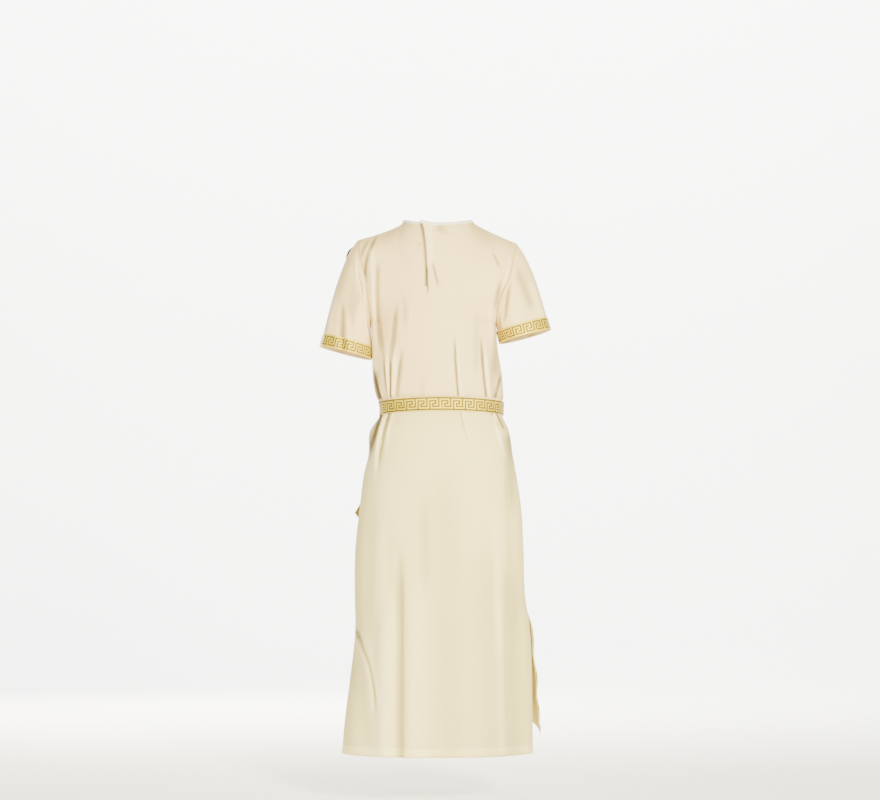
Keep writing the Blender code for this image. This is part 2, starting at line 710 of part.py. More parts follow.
def drape_grid():
    """Rows down the length of the drape, columns from its inner to its outer edge."""
    heights = [DRAPE_TOP] + [h for h in ROWS if h < DRAPE_FIRST_ROW]
    rows = []
    for h in heights:
        row = []
        for i in range(DRAPE_COLUMNS + 1):
            b = i / DRAPE_COLUMNS
            low = blend(DRAPE_END_INNER, DRAPE_END_OUTER, b)
            share = smooth_step((BELT_BOTTOM - h) / (BELT_BOTTOM - HEM))
            z = h
            if h < BELT_BOTTOM:
                z = BELT_BOTTOM + (h - BELT_BOTTOM) * (low - BELT_BOTTOM) / (HEM - BELT_BOTTOM)
            inner = read(DRAPE_CHEST, "h", "inner", z)
            outer = read(DRAPE_CHEST, "h", "outer", z)
            t = blend(inner, outer, b)
            free = 1 - belt_share(z)
            pleat = (1 - math.cos(2 * math.pi * DRAPE_PLEATS * b)) / 2 * DRAPE_PLEAT
            calm = 1 - smooth_step((b - CALM_START) / CALM_SPAN)
            wavy = smooth_step((b - WAVE_START) / (1 - WAVE_START))
            edge = read(DRAPE_EDGE, "z", "out", z) * wavy
            hang = DRAPE_HANG * share * (1 - abs(2 * b - 1))
            if h < BELT_BOTTOM:
                pleat *= calm
            out = DRAPE_GAP + DRAPE_WALL + (pleat + edge + hang * calm) * free
            row.append(front_outside(t, z, out))
        rows.append(row)
    return np.array(rows)


def make_drape():
    grid = drape_grid()
    bm, _ = grid_bmesh(grid)
    finish("drape", bm, DRAPE_WALL, CREAM, from_axis)
    normals = facing_out(grid, grid_normals(grid), from_axis)
    band = moved_out(grid, normals, LAY_GAP, RIBBON_WALL)[:, -1 - DRAPE_TRIM_COLUMNS:]
    band = band[(band[:, -1, 2] < DRAPE_TRIM_TOP) & (band[:, -1, 2] > DRAPE_TRIM_END)]
    bm, _ = grid_bmesh(band)
    finish("drape_trim", bm, RIBBON_WALL, GOLD_RIBBON, from_axis)


def make_tail(name, stations):
    """A hanging ribbon end that follows the skirt from station to station."""
    top, low = stations[0].z, stations[-1].z
    count = round((top - low) / TAIL_STEP)
    rows = []
    for height in [top] + spaced(top, low, count):
        middle = math.radians(read(stations, "z", "angle", height))
        turn = math.radians(read(stations, "z", "turn", height))
        out = read(stations, "z", "out", height) + RIBBON_WALL
        row = []
        for across in TAIL_ACROSS:
            shift = across * RIBBON
            angle = middle - shift * math.cos(turn) / TAIL_RADIUS
            z = height + shift * math.sin(turn)
            row.append(front_outside(2 - 2 * angle / math.pi, z, out))
        rows.append(row)
    bm, _ = grid_bmesh(np.array(rows))
    finish(name, bm, RIBBON_WALL, GOLD_RIBBON, from_axis)


def make_knot():
    """A small flat overhand knot in the ribbon, a rounded pad on the belt."""
    angle = math.radians(KNOT_ANGLE)
    middle = (BELT_TOP + BELT_BOTTOM) / 2
    share = 2 - 2 * angle / math.pi
    place = front_outside(share, middle, KNOT_OUT)
    facing = place - front_outside(share, middle, 0.0)
    bm = bmesh.new()
    bmesh.ops.create_cube(bm, size=1.0)
    mesh = bpy.data.meshes.new("belt_knot")
    for vert in bm.verts:
        vert.co = Vector([2 * half * c for half, c in zip(KNOT_HALF, vert.co)])
    bm.to_mesh(mesh)
    bm.free()
    mesh.materials.append(material("belt_knot", GOLD_RIBBON))
    piece = bpy.data.objects.new("belt_knot", mesh)
    piece.location = place
    piece.rotation_euler = (0.0, 0.0, math.atan2(facing[1], facing[0]) - math.pi / 2)
    subdivide = piece.modifiers.new("soft", 'SUBSURF')
    subdivide.levels = 2
    subdivide.render_levels = 2
    parts.objects.link(piece)


def make_brooch(sleeve):
    """A flat round brooch on the cap of the left sleeve, in front of the shoulder seam."""
    normals = facing_out(sleeve, grid_normals(sleeve, closed=True), from_sleeve(1))
    normal = Vector(normals[BROOCH_ROW, BROOCH_COLUMN]).normalized()
    place = Vector(sleeve[BROOCH_ROW, BROOCH_COLUMN])
    bpy.ops.mesh.primitive_cylinder_add(vertices=BROOCH_SIDES, radius=BROOCH_RADIUS,
                                        depth=BROOCH_THICK)
    piece = bpy.context.object
    piece.name = "brooch"
    piece.data.name = "brooch"
    piece.rotation_euler = normal.to_track_quat('Z', 'Y').to_euler()
    piece.location = place + normal * (BROOCH_GAP + BROOCH_THICK / 2)
    bevel = piece.modifiers.new("rim", 'BEVEL')
    bevel.width = BROOCH_RIM
    bevel.segments = 2
    bevel.limit_method = 'ANGLE'
    piece.data.materials.append(material("brooch", DARK_METAL))
    for holder in list(piece.users_collection):
        holder.objects.unlink(piece)
    parts.objects.link(piece)


def clear_scene():
    for thing in list(bpy.data.objects):
        bpy.data.objects.remove(thing, do_unlink=True)


clear_scene()
parts = bpy.data.collections.new("roman_noble_costume")
bpy.context.scene.collection.children.link(parts)

make_back()
make_front()
sleeves = {side: make_sleeve(side) for side in (1, -1)}
for side, grid in sleeves.items():
    make_sleeve_trim(side, grid)
make_neck_binding()
make_belt()
make_drape()
make_tail("belt_tail_long", TAIL_LONG)
make_tail("belt_tail_short", TAIL_SHORT)
make_knot()
make_brooch(sleeves[1])
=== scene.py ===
import math
from collections import namedtuple

import bmesh
import bpy
import numpy as np
from mathutils import Matrix, Vector


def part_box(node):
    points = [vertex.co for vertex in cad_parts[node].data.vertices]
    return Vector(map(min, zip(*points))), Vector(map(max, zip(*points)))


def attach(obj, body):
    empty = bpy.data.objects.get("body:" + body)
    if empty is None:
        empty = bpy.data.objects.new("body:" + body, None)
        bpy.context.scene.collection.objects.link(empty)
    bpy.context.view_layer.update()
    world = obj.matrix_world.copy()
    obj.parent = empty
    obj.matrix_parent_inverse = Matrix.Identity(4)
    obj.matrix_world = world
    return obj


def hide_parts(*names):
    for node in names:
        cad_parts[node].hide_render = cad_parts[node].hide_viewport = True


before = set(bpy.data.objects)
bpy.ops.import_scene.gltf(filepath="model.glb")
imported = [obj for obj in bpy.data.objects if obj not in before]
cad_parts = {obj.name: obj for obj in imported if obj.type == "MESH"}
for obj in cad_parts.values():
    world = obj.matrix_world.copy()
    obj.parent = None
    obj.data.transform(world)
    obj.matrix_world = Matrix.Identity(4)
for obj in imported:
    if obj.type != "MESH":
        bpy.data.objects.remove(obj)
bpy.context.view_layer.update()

bl_info = {
    "name": "Roman noble costume",
    "version": (1, 0, 0),
    "blender": (4, 5, 0),
    "location": "3D View > Sidebar > Costume",
    "description": "Makes a child's long tunic with key-pattern ribbon, belt, front drape and brooch",
    "category": "Add Mesh",
}

# Metres, +Z up. The front faces -Y and the wearer's left is +X. A face of +1 is the back of the
# tunic and -1 is the front. The heights and widths are those of the solids in the frame.
BODY = "root"
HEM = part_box("back")[0][2]

# Neck and shoulders
NECK_HALF = 0.059
NECK_DEPTH = {1: 0.052, -1: 0.070}
NECK_DROP = {1: 0.012, -1: 0.045}
NECK_SHARE = 8 / 18
TIP = {1: (0.1450, -0.0360), -1: (-0.1420, -0.0420)}
SHOULDER_CURVE = {1: 0.68, -1: 0.83}
ARMHOLE_DEPTH = {1: 0.054, -1: 0.050}
ARMPIT = -0.190
SEAM_HALF_GAP = 0.0003

# Belt and body
BELT_TOP = -0.325
BELT_BOTTOM = -0.3505
BELT_SAG = 0.0045
ROUNDNESS = 0.12

# The slit at the back of the neck
SLIT_COLUMN = 0.13
SLIT_END = -0.1400
SLIT_LINE = (0.0293, 0.0205, 0.0180)
SLIT_LIFT = 0.0026
SLIT_LIFT_NECK = 0.0022
UNDERLAP = 0.010


def table(columns, rows, defaults=()):
    """Rows of a table with named columns."""
    kind = namedtuple("Row", columns, defaults=defaults)
    return [kind(*row) for row in rows]


SECTIONS = table("z left right back front", [
    (-0.190, 0.1215, 0.1050, 0.0860, 0.0900),
    (-0.225, 0.1196, 0.1070, 0.0850, 0.0905),
    (-0.250, 0.1184, 0.1105, 0.0840, 0.0900),
    (-0.275, 0.1182, 0.1150, 0.0830, 0.0890),
    (-0.300, 0.1150, 0.1170, 0.0825, 0.0875),
    (-0.316, 0.1110, 0.1180, 0.0815, 0.0860),
    (-0.325, 0.1068, 0.1165, 0.0780, 0.0830),
    (-0.3505, 0.1055, 0.1160, 0.0780, 0.0830),
    (-0.378, 0.1215, 0.1270, 0.0870, 0.0900),
    (-0.425, 0.1253, 0.1345, 0.0960, 0.0950),
    (-0.461, 0.1336, 0.1410, 0.1000, 0.0980),
    (-0.518, 0.1404, 0.1494, 0.1030, 0.1000),
    (-0.590, 0.1485, 0.1535, 0.1060, 0.1030),
    (-0.680, 0.1494, 0.1566, 0.1080, 0.1070),
    (-0.734, 0.1483, 0.1640, 0.1100, 0.1090),
    (-0.823, 0.1571, 0.1683, 0.1130, 0.1120),
    (-0.895, 0.1661, 0.1690, 0.1160, 0.1150),
    (-0.956, 0.1715, 0.1696, 0.1190, 0.1180),
])

ARMHOLES = table("z left right", [
    (-0.190, 0.1215, 0.1050),
    (-0.165, 0.1232, 0.1060),
    (-0.135, 0.1268, 0.1150),
    (-0.110, 0.1300, 0.1270),
    (-0.076, 0.1400, 0.1340),
    (-0.036, 0.1450, 0.1420),
])

# Folds of the tunic, as lines of three points at even heights. Depth is outwards, so a ridge
# is positive and a trough negative. Lean makes one flank steep: 1 is a fold like a step. Tone
# paints shade along the line where it is below 0 and a highlight where it is above 0; where
# there is none it follows the depth. Rows without depth are painted tone alone.
FOLDS = table("face z_top x_top x_mid x_low z_low half_width depth lean fade_top fade_low tone", [
    # the skirt's long folds
    (1, -0.560, 0.0680, 0.0675, 0.0665, -0.990, 0.0090, -0.0080, 0.25, 0.130, 0.010, -0.34),
    (1, -0.640, 0.0900, 0.0920, 0.0940, -0.990, 0.0160, 0.0055, 0.0, 0.120, 0.010),
    (1, -0.620, 0.0460, 0.0450, 0.0440, -0.990, 0.0150, 0.0045, 0.0, 0.120, 0.010),
    (1, -0.728, 0.1520, 0.1175, 0.1078, -0.890, 0.0050, -0.0060, 0.4, 0.020, 0.050, -0.55),
    (1, -0.740, 0.1400, 0.1190, 0.0980, -0.880, 0.0080, 0.0030, 0.0, 0.030, 0.060, 0.30),
    (1, -0.760, 0.1500, 0.1400, 0.1300, -0.950, 0.0140, -0.0030, 0.0, 0.060, 0.020, -0.10),
    (1, -0.600, -0.1280, -0.1330, -0.1380, -0.990, 0.0150, -0.0055, 0.0, 0.100, 0.010, -0.14),
    (1, -0.520, -0.0900, -0.1000, -0.1060, -0.990, 0.0420, -0.0030, 0.0, 0.160, 0.010, -0.17),
    (1, -0.620, -0.1080, -0.1120, -0.1140, -0.960, 0.0100, 0.0030, 0.0, 0.100, 0.020, 0.12),
    (1, -0.400, -0.0100, -0.0160, -0.0200, -0.990, 0.0300, -0.0025, 0.0, 0.140, 0.010),
    (1, -0.480, 0.1180, 0.1210, 0.1280, -0.760, 0.0100, -0.0022, 0.0, 0.080, 0.080),
    (1, -0.520, -0.1060, -0.1080, -0.1120, -0.800, 0.0090, 0.0016, 0.0, 0.080, 0.080),
    (1, -0.470, 0.0260, 0.0240, 0.0200, -0.700, 0.0100, -0.0014, 0.0, 0.080, 0.080),
    (1, -0.520, 0.0900, 0.0860, 0.0840, -0.720, 0.0110, -0.0020, 0.0, 0.080, 0.080),
    (1, -0.450, -0.1220, -0.1330, -0.1420, -0.780, 0.0080, -0.0024, 0.0, 0.060, 0.080, -0.07),
    (1, -0.400, 0.0900, 0.1050, 0.1200, -0.990, 0.0300, 0.0, 0.0, 0.080, 0.010, 0.22),
    # painted shade below the shoulder seams
    (1, 0.010, 0.0600, 0.0860, 0.1040, -0.060, 0.0160, 0.0, 0.0, 0.010, 0.030, -0.14),
    (1, 0.010, -0.0560, -0.0800, -0.1040, -0.070, 0.0180, 0.0, 0.0, 0.010, 0.030, -0.14),
    # gathers above the belt
    (1, -0.245, 0.0862, 0.0848, 0.0846, -0.326, 0.0024, -0.0042, 0.3, 0.030, 0.003, -0.85),
    (1, -0.150, 0.0740, 0.0790, 0.0850, -0.262, 0.0042, -0.0030, 0.0, 0.040, 0.020, -0.45),
    (1, -0.230, 0.0630, 0.0685, 0.0755, -0.326, 0.0024, -0.0038, -0.3, 0.050, 0.003, -0.75),
    (1, -0.220, 0.0770, 0.0785, 0.0800, -0.326, 0.0042, 0.0030, 0.0, 0.050, 0.003, 0.60),
    (1, -0.220, 0.0940, 0.0910, 0.0895, -0.326, 0.0036, 0.0028, 0.0, 0.060, 0.003, 0.60),
    (1, -0.075, 0.1075, 0.1090, 0.0985, -0.260, 0.0046, -0.0030, 0.0, 0.030, 0.040, -0.42),
    (1, -0.240, 0.1010, 0.0950, 0.0905, -0.326, 0.0030, -0.0026, 0.0, 0.040, 0.006, -0.45),
    (1, -0.085, 0.1150, 0.1165, 0.1120, -0.300, 0.0050, 0.0030, 0.0, 0.030, 0.040, 0.45),
    (1, -0.262, 0.1150, 0.1110, 0.1020, -0.326, 0.0036, -0.0034, 0.0, 0.020, 0.003, -0.60),
    (1, -0.290, 0.1060, 0.1030, 0.0985, -0.326, 0.0022, 0.0016, 0.0, 0.020, 0.003, 0.30),
    (1, -0.205, -0.0290, -0.0315, -0.0365, -0.326, 0.0022, -0.0030, 0.5, 0.050, 0.003, -0.72),
    (1, -0.215, -0.0350, -0.0370, -0.0420, -0.326, 0.0040, 0.0022, 0.0, 0.060, 0.003, 0.50),
    (1, -0.205, -0.0770, -0.0800, -0.0865, -0.326, 0.0024, -0.0034, -0.3, 0.055, 0.003, -0.70),
    (1, -0.215, -0.0840, -0.0870, -0.0920, -0.326, 0.0040, 0.0028, 0.0, 0.060, 0.003, 0.55),
    (1, -0.240, -0.0960, -0.0975, -0.0985, -0.326, 0.0050, -0.0014, 0.0, 0.040, 0.004, -0.20),
    (1, -0.275, -0.1150, -0.1085, -0.1020, -0.326, 0.0026, -0.0026, 0.0, 0.020, 0.003, -0.50),
    (1, -0.170, -0.0700, -0.0690, -0.0680, -0.300, 0.0060, -0.0012, 0.0, 0.030, 0.050, -0.16),
    (1, -0.200, -0.1000, -0.1020, -0.1080, -0.300, 0.0060, -0.0020, 0.0, 0.030, 0.030, -0.28),
    (1, -0.270, 0.0300, 0.0290, 0.0270, -0.326, 0.0050, -0.0010, 0.0, 0.040, 0.006, -0.12),
    (1, -0.130, 0.0600, 0.0590, 0.0600, -0.220, 0.0046, -0.0014, 0.0, 0.030, 0.050, -0.24),
    (1, -0.130, 0.0520, 0.0510, 0.0520, -0.220, 0.0046, 0.0010, 0.0, 0.030, 0.050, 0.24),
    # painted highlight on the slit's flap; its lower end and the crease beside it, painted shade
    (1, 0.010, 0.0200, 0.0150, 0.0130, -0.098, 0.0050, 0.0008, 0.0, 0.004, 0.030, 0.90),
    (1, 0.010, 0.0120, 0.0120, 0.0120, -0.026, 0.0090, 0.0, 0.0, 0.004, 0.012, 0.55),
    (1, -0.006, -0.0060, -0.0040, -0.0180, -0.038, 0.0090, -0.0006, 0.0, 0.010, 0.014, -0.26),
    (1, -0.090, 0.0185, 0.0174, 0.0190, -0.150, 0.0018, -0.0016, -0.6, 0.012, 0.020, -0.55),
    (1, -0.080, 0.0110, 0.0045, -0.0025, -0.136, 0.0022, -0.0016, -0.5, 0.014, 0.016, -0.42),
    (1, -0.047, 0.0340, 0.0334, 0.0330, -0.056, 0.0028, -0.0012, 0.0, 0.004, 0.004, -0.22),
    # drag lines at the armholes
    (1, -0.024, 0.1060, 0.1270, 0.1290, -0.124, 0.0036, -0.0026, 0.0, 0.020, 0.020, -0.48),
    (1, -0.050, 0.1200, 0.1190, 0.1150, -0.190, 0.0046, 0.0024, 0.0, 0.020, 0.050, 0.55),
    (1, -0.034, 0.1200, 0.1340, 0.1380, -0.080, 0.0030, -0.0016, 0.0, 0.012, 0.016, -0.35),
    (1, -0.060, -0.0970, -0.1040, -0.1110, -0.096, 0.0030, -0.0018, 0.0, 0.012, 0.012, -0.34),
    (1, -0.070, -0.1290, -0.1220, -0.1130, -0.140, 0.0034, 0.0026, 0.0, 0.014, 0.020, 0.55),
    (1, -0.110, -0.1130, -0.1060, -0.0990, -0.180, 0.0040, -0.0022, 0.0, 0.020, 0.030, -0.34),
    (1, -0.150, -0.0950, -0.0960, -0.0980, -0.260, 0.0050, 0.0022, 0.0, 0.030, 0.050, 0.40),
    # spreading from under the belt
    (1, -0.350, 0.0860, 0.1020, 0.1050, -0.480, 0.0026, -0.0050, 0.2, 0.003, 0.080, -0.75),
    (1, -0.350, 0.1010, 0.1140, 0.1270, -0.440, 0.0050, -0.0040, 0.0, 0.003, 0.050, -0.60),
    (1, -0.350, 0.0930, 0.1080, 0.1160, -0.480, 0.0040, 0.0040, 0.0, 0.003, 0.080, 0.70),
    (1, -0.350, 0.0800, 0.0900, 0.0940, -0.440, 0.0030, 0.0020, 0.0, 0.003, 0.060, 0.35),
    (1, -0.350, -0.0950, -0.1030, -0.1110, -0.384, 0.0022, -0.0034, 0.0, 0.003, 0.014, -0.65),
    (1, -0.350, -0.1030, -0.1120, -0.1210, -0.388, 0.0022, -0.0034, 0.0, 0.003, 0.014, -0.65),
    (1, -0.350, -0.0990, -0.1090, -0.1240, -0.440, 0.0030, 0.0034, 0.0, 0.003, 0.050, 0.65),
    (1, -0.350, -0.0440, -0.0520, -0.0690, -0.428, 0.0024, 0.0024, 0.4, 0.003, 0.030, 0.40),
    (1, -0.350, -0.0410, -0.0480, -0.0640, -0.420, 0.0022, -0.0014, 0.0, 0.003, 0.030, -0.35),
    (1, -0.380, -0.1240, -0.1300, -0.1360, -0.560, 0.0080, -0.0030, 0.0, 0.020, 0.080, -0.25),
    # similar ones on the front
    (-1, -0.600, 0.0750, 0.0780, 0.0800, -0.990, 0.0150, -0.0070, 0.2, 0.120, 0.010),
    (-1, -0.560, 0.0300, 0.0280, 0.0260, -0.990, 0.0190, 0.0045, 0.0, 0.120, 0.010),
    (-1, -0.600, 0.1200, 0.1260, 0.1300, -0.990, 0.0150, 0.0038, 0.0, 0.120, 0.010),
    (-1, -0.500, 0.0500, 0.0520, 0.0540, -0.900, 0.0120, -0.0020, 0.0, 0.120, 0.090),
    (-1, -0.200, 0.0600, 0.0630, 0.0660, -0.326, 0.0030, -0.0034, 0.2, 0.050, 0.004),
    (-1, -0.230, 0.0440, 0.0420, 0.0410, -0.326, 0.0050, 0.0022, 0.0, 0.050, 0.004),
    (-1, -0.220, 0.0900, 0.0930, 0.0960, -0.326, 0.0040, 0.0026, 0.0, 0.050, 0.004),
    (-1, -0.240, 0.0800, 0.0790, 0.0780, -0.326, 0.0028, -0.0028, 0.0, 0.040, 0.004),
    (-1, -0.260, 0.0180, 0.0170, 0.0180, -0.326, 0.0030, -0.0022, 0.3, 0.040, 0.004),
    (-1, -0.350, 0.0520, 0.0640, 0.0760, -0.500, 0.0036, -0.0040, 0.2, 0.004, 0.080),
    (-1, -0.350, 0.0840, 0.0960, 0.1080, -0.470, 0.0042, 0.0032, 0.0, 0.004, 0.060),
    (-1, -0.350, 0.0200, 0.0240, 0.0280, -0.430, 0.0036, -0.0024, 0.0, 0.004, 0.050),
    (-1, -0.350, 0.0980, 0.1080, 0.1160, -0.420, 0.0030, -0.0030, 0.0, 0.004, 0.030),
], defaults=(None,))

Cuff = namedtuple("Cuff", "inner_x inner_z outer_x outer_z half_depth")
CUFF = {
    1: Cuff(0.1212, -0.2530, 0.2130, -0.2295, 0.047),
    -1: Cuff(-0.1120, -0.2240, -0.2030, -0.1995, 0.047),
}
SLEEVE_GAP = 0.0002
SEAM_TUCK = 0.0013
CUFF_TRIM = 0.0225
SIDES = ((1, "left"), (-1, "right"))
SLEEVE_COLUMNS = 145
SLEEVE_ROWS = 91
FULL_TURN = 2 * math.pi

# Clearance between a ribbon and the cloth that it lies on
LAY_GAP = 0.0006

# Folds of the sleeves: turn runs from the top of the sleeve over its back, in degrees, and
# share from the armhole to the cuff. Tone paints shade along a fold where it is below 0 and a
# highlight where it is above 0.
SLEEVE_FOLDS = table("side turn_top share_top turn_low share_low width depth fade tone", [
    (1, 56, 0.50, 82, 0.97, 7, -0.0030, 0.16, -0.42),
    (1, 74, 0.50, 98, 0.97, 8, 0.0022, 0.20, 0.35),
    (1, 72, 0.15, 84, 0.80, 13, -0.0020, 0.20, -0.30),
    (1, 30, 0.45, 36, 0.90, 10, 0.0018, 0.20, 0.30),
    (1, 12, 0.20, 16, 0.90, 9, -0.0012, 0.20, -0.26),
    (1, 44, 0.04, 96, 0.24, 9, 0.0022, 0.10, 0.50),
    (1, 60, 0.04, 124, 0.34, 8, -0.0026, 0.10, -0.40),
    (1, 96, 0.04, 134, 0.44, 8, 0.0022, 0.12, 0.45),
    (1, 118, 0.02, 150, 0.40, 8, -0.0020, 0.12, -0.30),
    (-1, 62, 0.05, 58, 0.60, 12, -0.0022, 0.20, -0.34),
    (-1, 36, 0.35, 34, 0.95, 12, 0.0016, 0.20, 0.25),
    (-1, 88, 0.04, 118, 0.42, 7, -0.0030, 0.12, -0.50),
    (-1, 100, 0.30, 112, 0.95, 13, 0.0016, 0.20, 0.25),
    (-1, 132, 0.10, 160, 0.70, 10, -0.0018, 0.20, -0.30),
    (1, 250, 0.05, 232, 0.50, 10, -0.0028, 0.15, -0.35),
    (1, 300, 0.35, 285, 0.97, 12, -0.0022, 0.20, -0.28),
    (-1, 250, 0.05, 230, 0.50, 10, -0.0028, 0.15, -0.35),
    (-1, 300, 0.35, 290, 0.97, 12, -0.0022, 0.20, -0.28),
])

# The front drape: how far round it reaches at each height, as shares of the front
DRAPE_CHEST = table("h inner outer", [
    (-0.004, 0.940, 0.520),
    (-0.060, 0.800, 0.250),
    (-0.120, 0.600, -0.100),
    (-0.190, 0.350, -0.450),
    (-0.260, 0.080, -0.740),
    (-0.325, -0.180, -0.830),
    (-0.3505, -0.220, -0.830),
    (-0.420, -0.230, -0.830),
    (-0.560, -0.200, -0.830),
    (-0.690, -0.160, -0.840),
    (-0.750, -0.150, -0.980),
    (-0.790, -0.150, -0.950),
    (-0.830, -0.145, -1.000),
    (-0.855, -0.145, -0.985),
    (-0.885, -0.140, -1.010),
    (-0.926, -0.140, -1.000),
])
DRAPE_TOP = -0.008
DRAPE_END_INNER = -0.800
DRAPE_END_OUTER = -0.926
DRAPE_GAP = 0.0009
DRAPE_WALL = 0.0012
DRAPE_COLUMNS = 91
DRAPE_PLEATS = 5
DRAPE_PLEAT = 0.0035
DRAPE_TRIM_TOP = -0.356
DRAPE_TRIM_END = -0.905
# Where the ribbon shows past the cloth's edge from behind: height and half length
DRAPE_GOLD = ((-0.781, 0.016), (-0.848, 0.011), (-0.909, 0.014))
DRAPE_CUT = 0.035

DRAPE_EDGE = table("z out", [
    (-0.352, 0.0000),
    (-0.560, 0.0006),
    (-0.700, 0.0006),
    (-0.745, 0.0030),
    (-0.785, 0.0026),
    (-0.828, 0.0068),
    (-0.855, 0.0060),
    (-0.885, 0.0095),
    (-0.900, 0.0096),
    (-0.915, 0.0130),
    (-0.926, 0.0110),
])

TAIL_COLUMNS = "angle z turn out"
TAIL_LONG = table(TAIL_COLUMNS, [
    (121.0, -0.3380, 6.0, 0.0027),
    (120.5, -0.3520, 8.0, 0.0027),
    (118.8, -0.3750, 9.0, 0.0020),
    (115.2, -0.4200, 10.0, 0.0019),
    (111.2, -0.4650, 11.0, 0.0020),
    (107.8, -0.5000, 14.0, 0.0022),
    (105.4, -0.5190, 18.0, 0.0032),
    (102.0, -0.5344, 22.0, 0.0085),
])
TAIL_SHORT = table(TAIL_COLUMNS, [
    (131.5, -0.3380, -2.0, 0.0042),
    (132.5, -0.3520, -3.0, 0.0042),
    (134.5, -0.3750, -4.0, 0.0036),
    (135.8, -0.4000, -5.0, 0.0022),
    (137.0, -0.4500, -6.0, 0.0019),
    (138.0, -0.5150, -6.0, 0.0021),
])
TAIL_RADIUS = 0.115

# The knot: where it is round the belt, how far out, and its sizes
KNOT_ANGLE = 126.0
KNOT_OUT = 0.0115
KNOT_WIDTH = 0.0300
KNOT_HALF_HEIGHT = 0.0125
KNOT_HALF_DEPTH = 0.0048
KNOT_TWIST = 0.0012
KNOT_WALL = 0.0008

# The brooch: radius and height of each ring of its face, as a share of its thickness
BROOCH_THICK = 0.0030
BROOCH_FACE = ((0.0, 1.0), (0.0030, 0.98), (0.0040, 0.72), (0.0055, 0.60), (0.0075, 0.66),
               (0.0090, 0.60), (0.0105, 0.60), (0.0115, 0.86), (0.0130, 0.92), (0.0145, 0.70),
               (0.0145, 0.15), (0.0138, 0.0), (0.0, 0.0))
BROOCH_BEADS = 16
BEAD_RING = 0.0098
BEAD_RADIUS = 0.0008

# One repeat of the key ribbon as the cuffs show it, top row first, seen from outside: # is a
# dark line and . the light ground. The belt shows the ribbon's reverse.
KEY_CHART = [
    "........",
    "#.######",
    "#.#.....",
    "#.#.###.",
    "#.#...#.",
    "#.###.#.",
    "#.....#.",
    "#######.",
    "........",
]
KEY_REVERSE = [row[::-1].translate(str.maketrans("#.", ".#")) for row in KEY_CHART]
KEY_ROWS = len(KEY_CHART)
KEY_COLUMNS = len(KEY_CHART[0])
CELL_PARTS = 2
FRINGE = 0.35

# The studio: the floor's height, the camera, and each light's place, aim, size, watts and tint
FLOOR_HEIGHT = -1.042
CAMERA_PLACE = (-0.0036, 4.0, -0.60)
CAMERA_AIM = (-0.0036, 0.0, -0.3262)
CAMERA_LENS = 90.9
GARMENT = (0.0, 0.0, -0.45)
WARM = (1.0, 0.935, 0.70)
PLAIN = (1.0, 0.995, 0.985)
LIGHTS = [
    ("key_light", (-1.2, 3.7, 0.6), GARMENT, 0.6, 520.0, WARM),
    ("fill_light", (0.4, 3.9, 0.2), GARMENT, 1.2, 90.0, WARM),
    ("top_light", (0.2, 0.9, 2.6), GARMENT, 1.6, 20.0, WARM),
    ("back_light", (0.9, -2.6, 0.6), GARMENT, 1.2, 230.0, WARM),
    ("backdrop_light_left", (1.8, -1.8, 2.3), (0.9, -6.0, 1.0), 2.0, 620.0, PLAIN),
    ("backdrop_light_right", (-1.8, -1.8, 2.3), (-0.9, -6.0, 1.0), 2.0, 620.0, PLAIN),
]


# What a user may change


class CostumeSizes(bpy.types.PropertyGroup):
    cloth_wall: bpy.props.FloatProperty(
        name="Cloth", description="Thickness of the cream cloth", default=0.0010,
        min=0.0004, max=0.0020, precision=4, subtype='DISTANCE', unit='LENGTH')
    ribbon_wall: bpy.props.FloatProperty(
        name="Ribbon", description="Thickness of the key ribbon", default=0.0008,
        min=0.0004, max=0.0015, precision=4, subtype='DISTANCE', unit='LENGTH')
    ribbon_width: bpy.props.FloatProperty(
        name="Ribbon width", description="Width of the key ribbon", default=0.025,
        min=0.015, max=0.040, precision=4, subtype='DISTANCE', unit='LENGTH')
    key_relief: bpy.props.FloatProperty(
        name="Key relief", description="How far the key stands off its ground",
        default=0.00022, min=0.0, max=0.0006, precision=5, subtype='DISTANCE', unit='LENGTH')
    hem_turn: bpy.props.FloatProperty(
        name="Hem", description="Height of the turned-up hem", default=0.0155,
        min=0.005, max=0.040, precision=4, subtype='DISTANCE', unit='LENGTH')
    binding: bpy.props.FloatProperty(
        name="Neck binding", description="Width of the neck binding", default=0.0065,
        min=0.003, max=0.012, precision=4, subtype='DISTANCE', unit='LENGTH')
    stitch: bpy.props.FloatProperty(
        name="Stitch", description="Length of one stitch with its gap", default=0.0030,
        min=0.0015, max=0.006, precision=4, subtype='DISTANCE', unit='LENGTH')
    fold_share: bpy.props.FloatProperty(
        name="Folds", description="Depth of the folds against those listed", default=1.2,
        min=0.0, max=1.5, subtype='FACTOR')


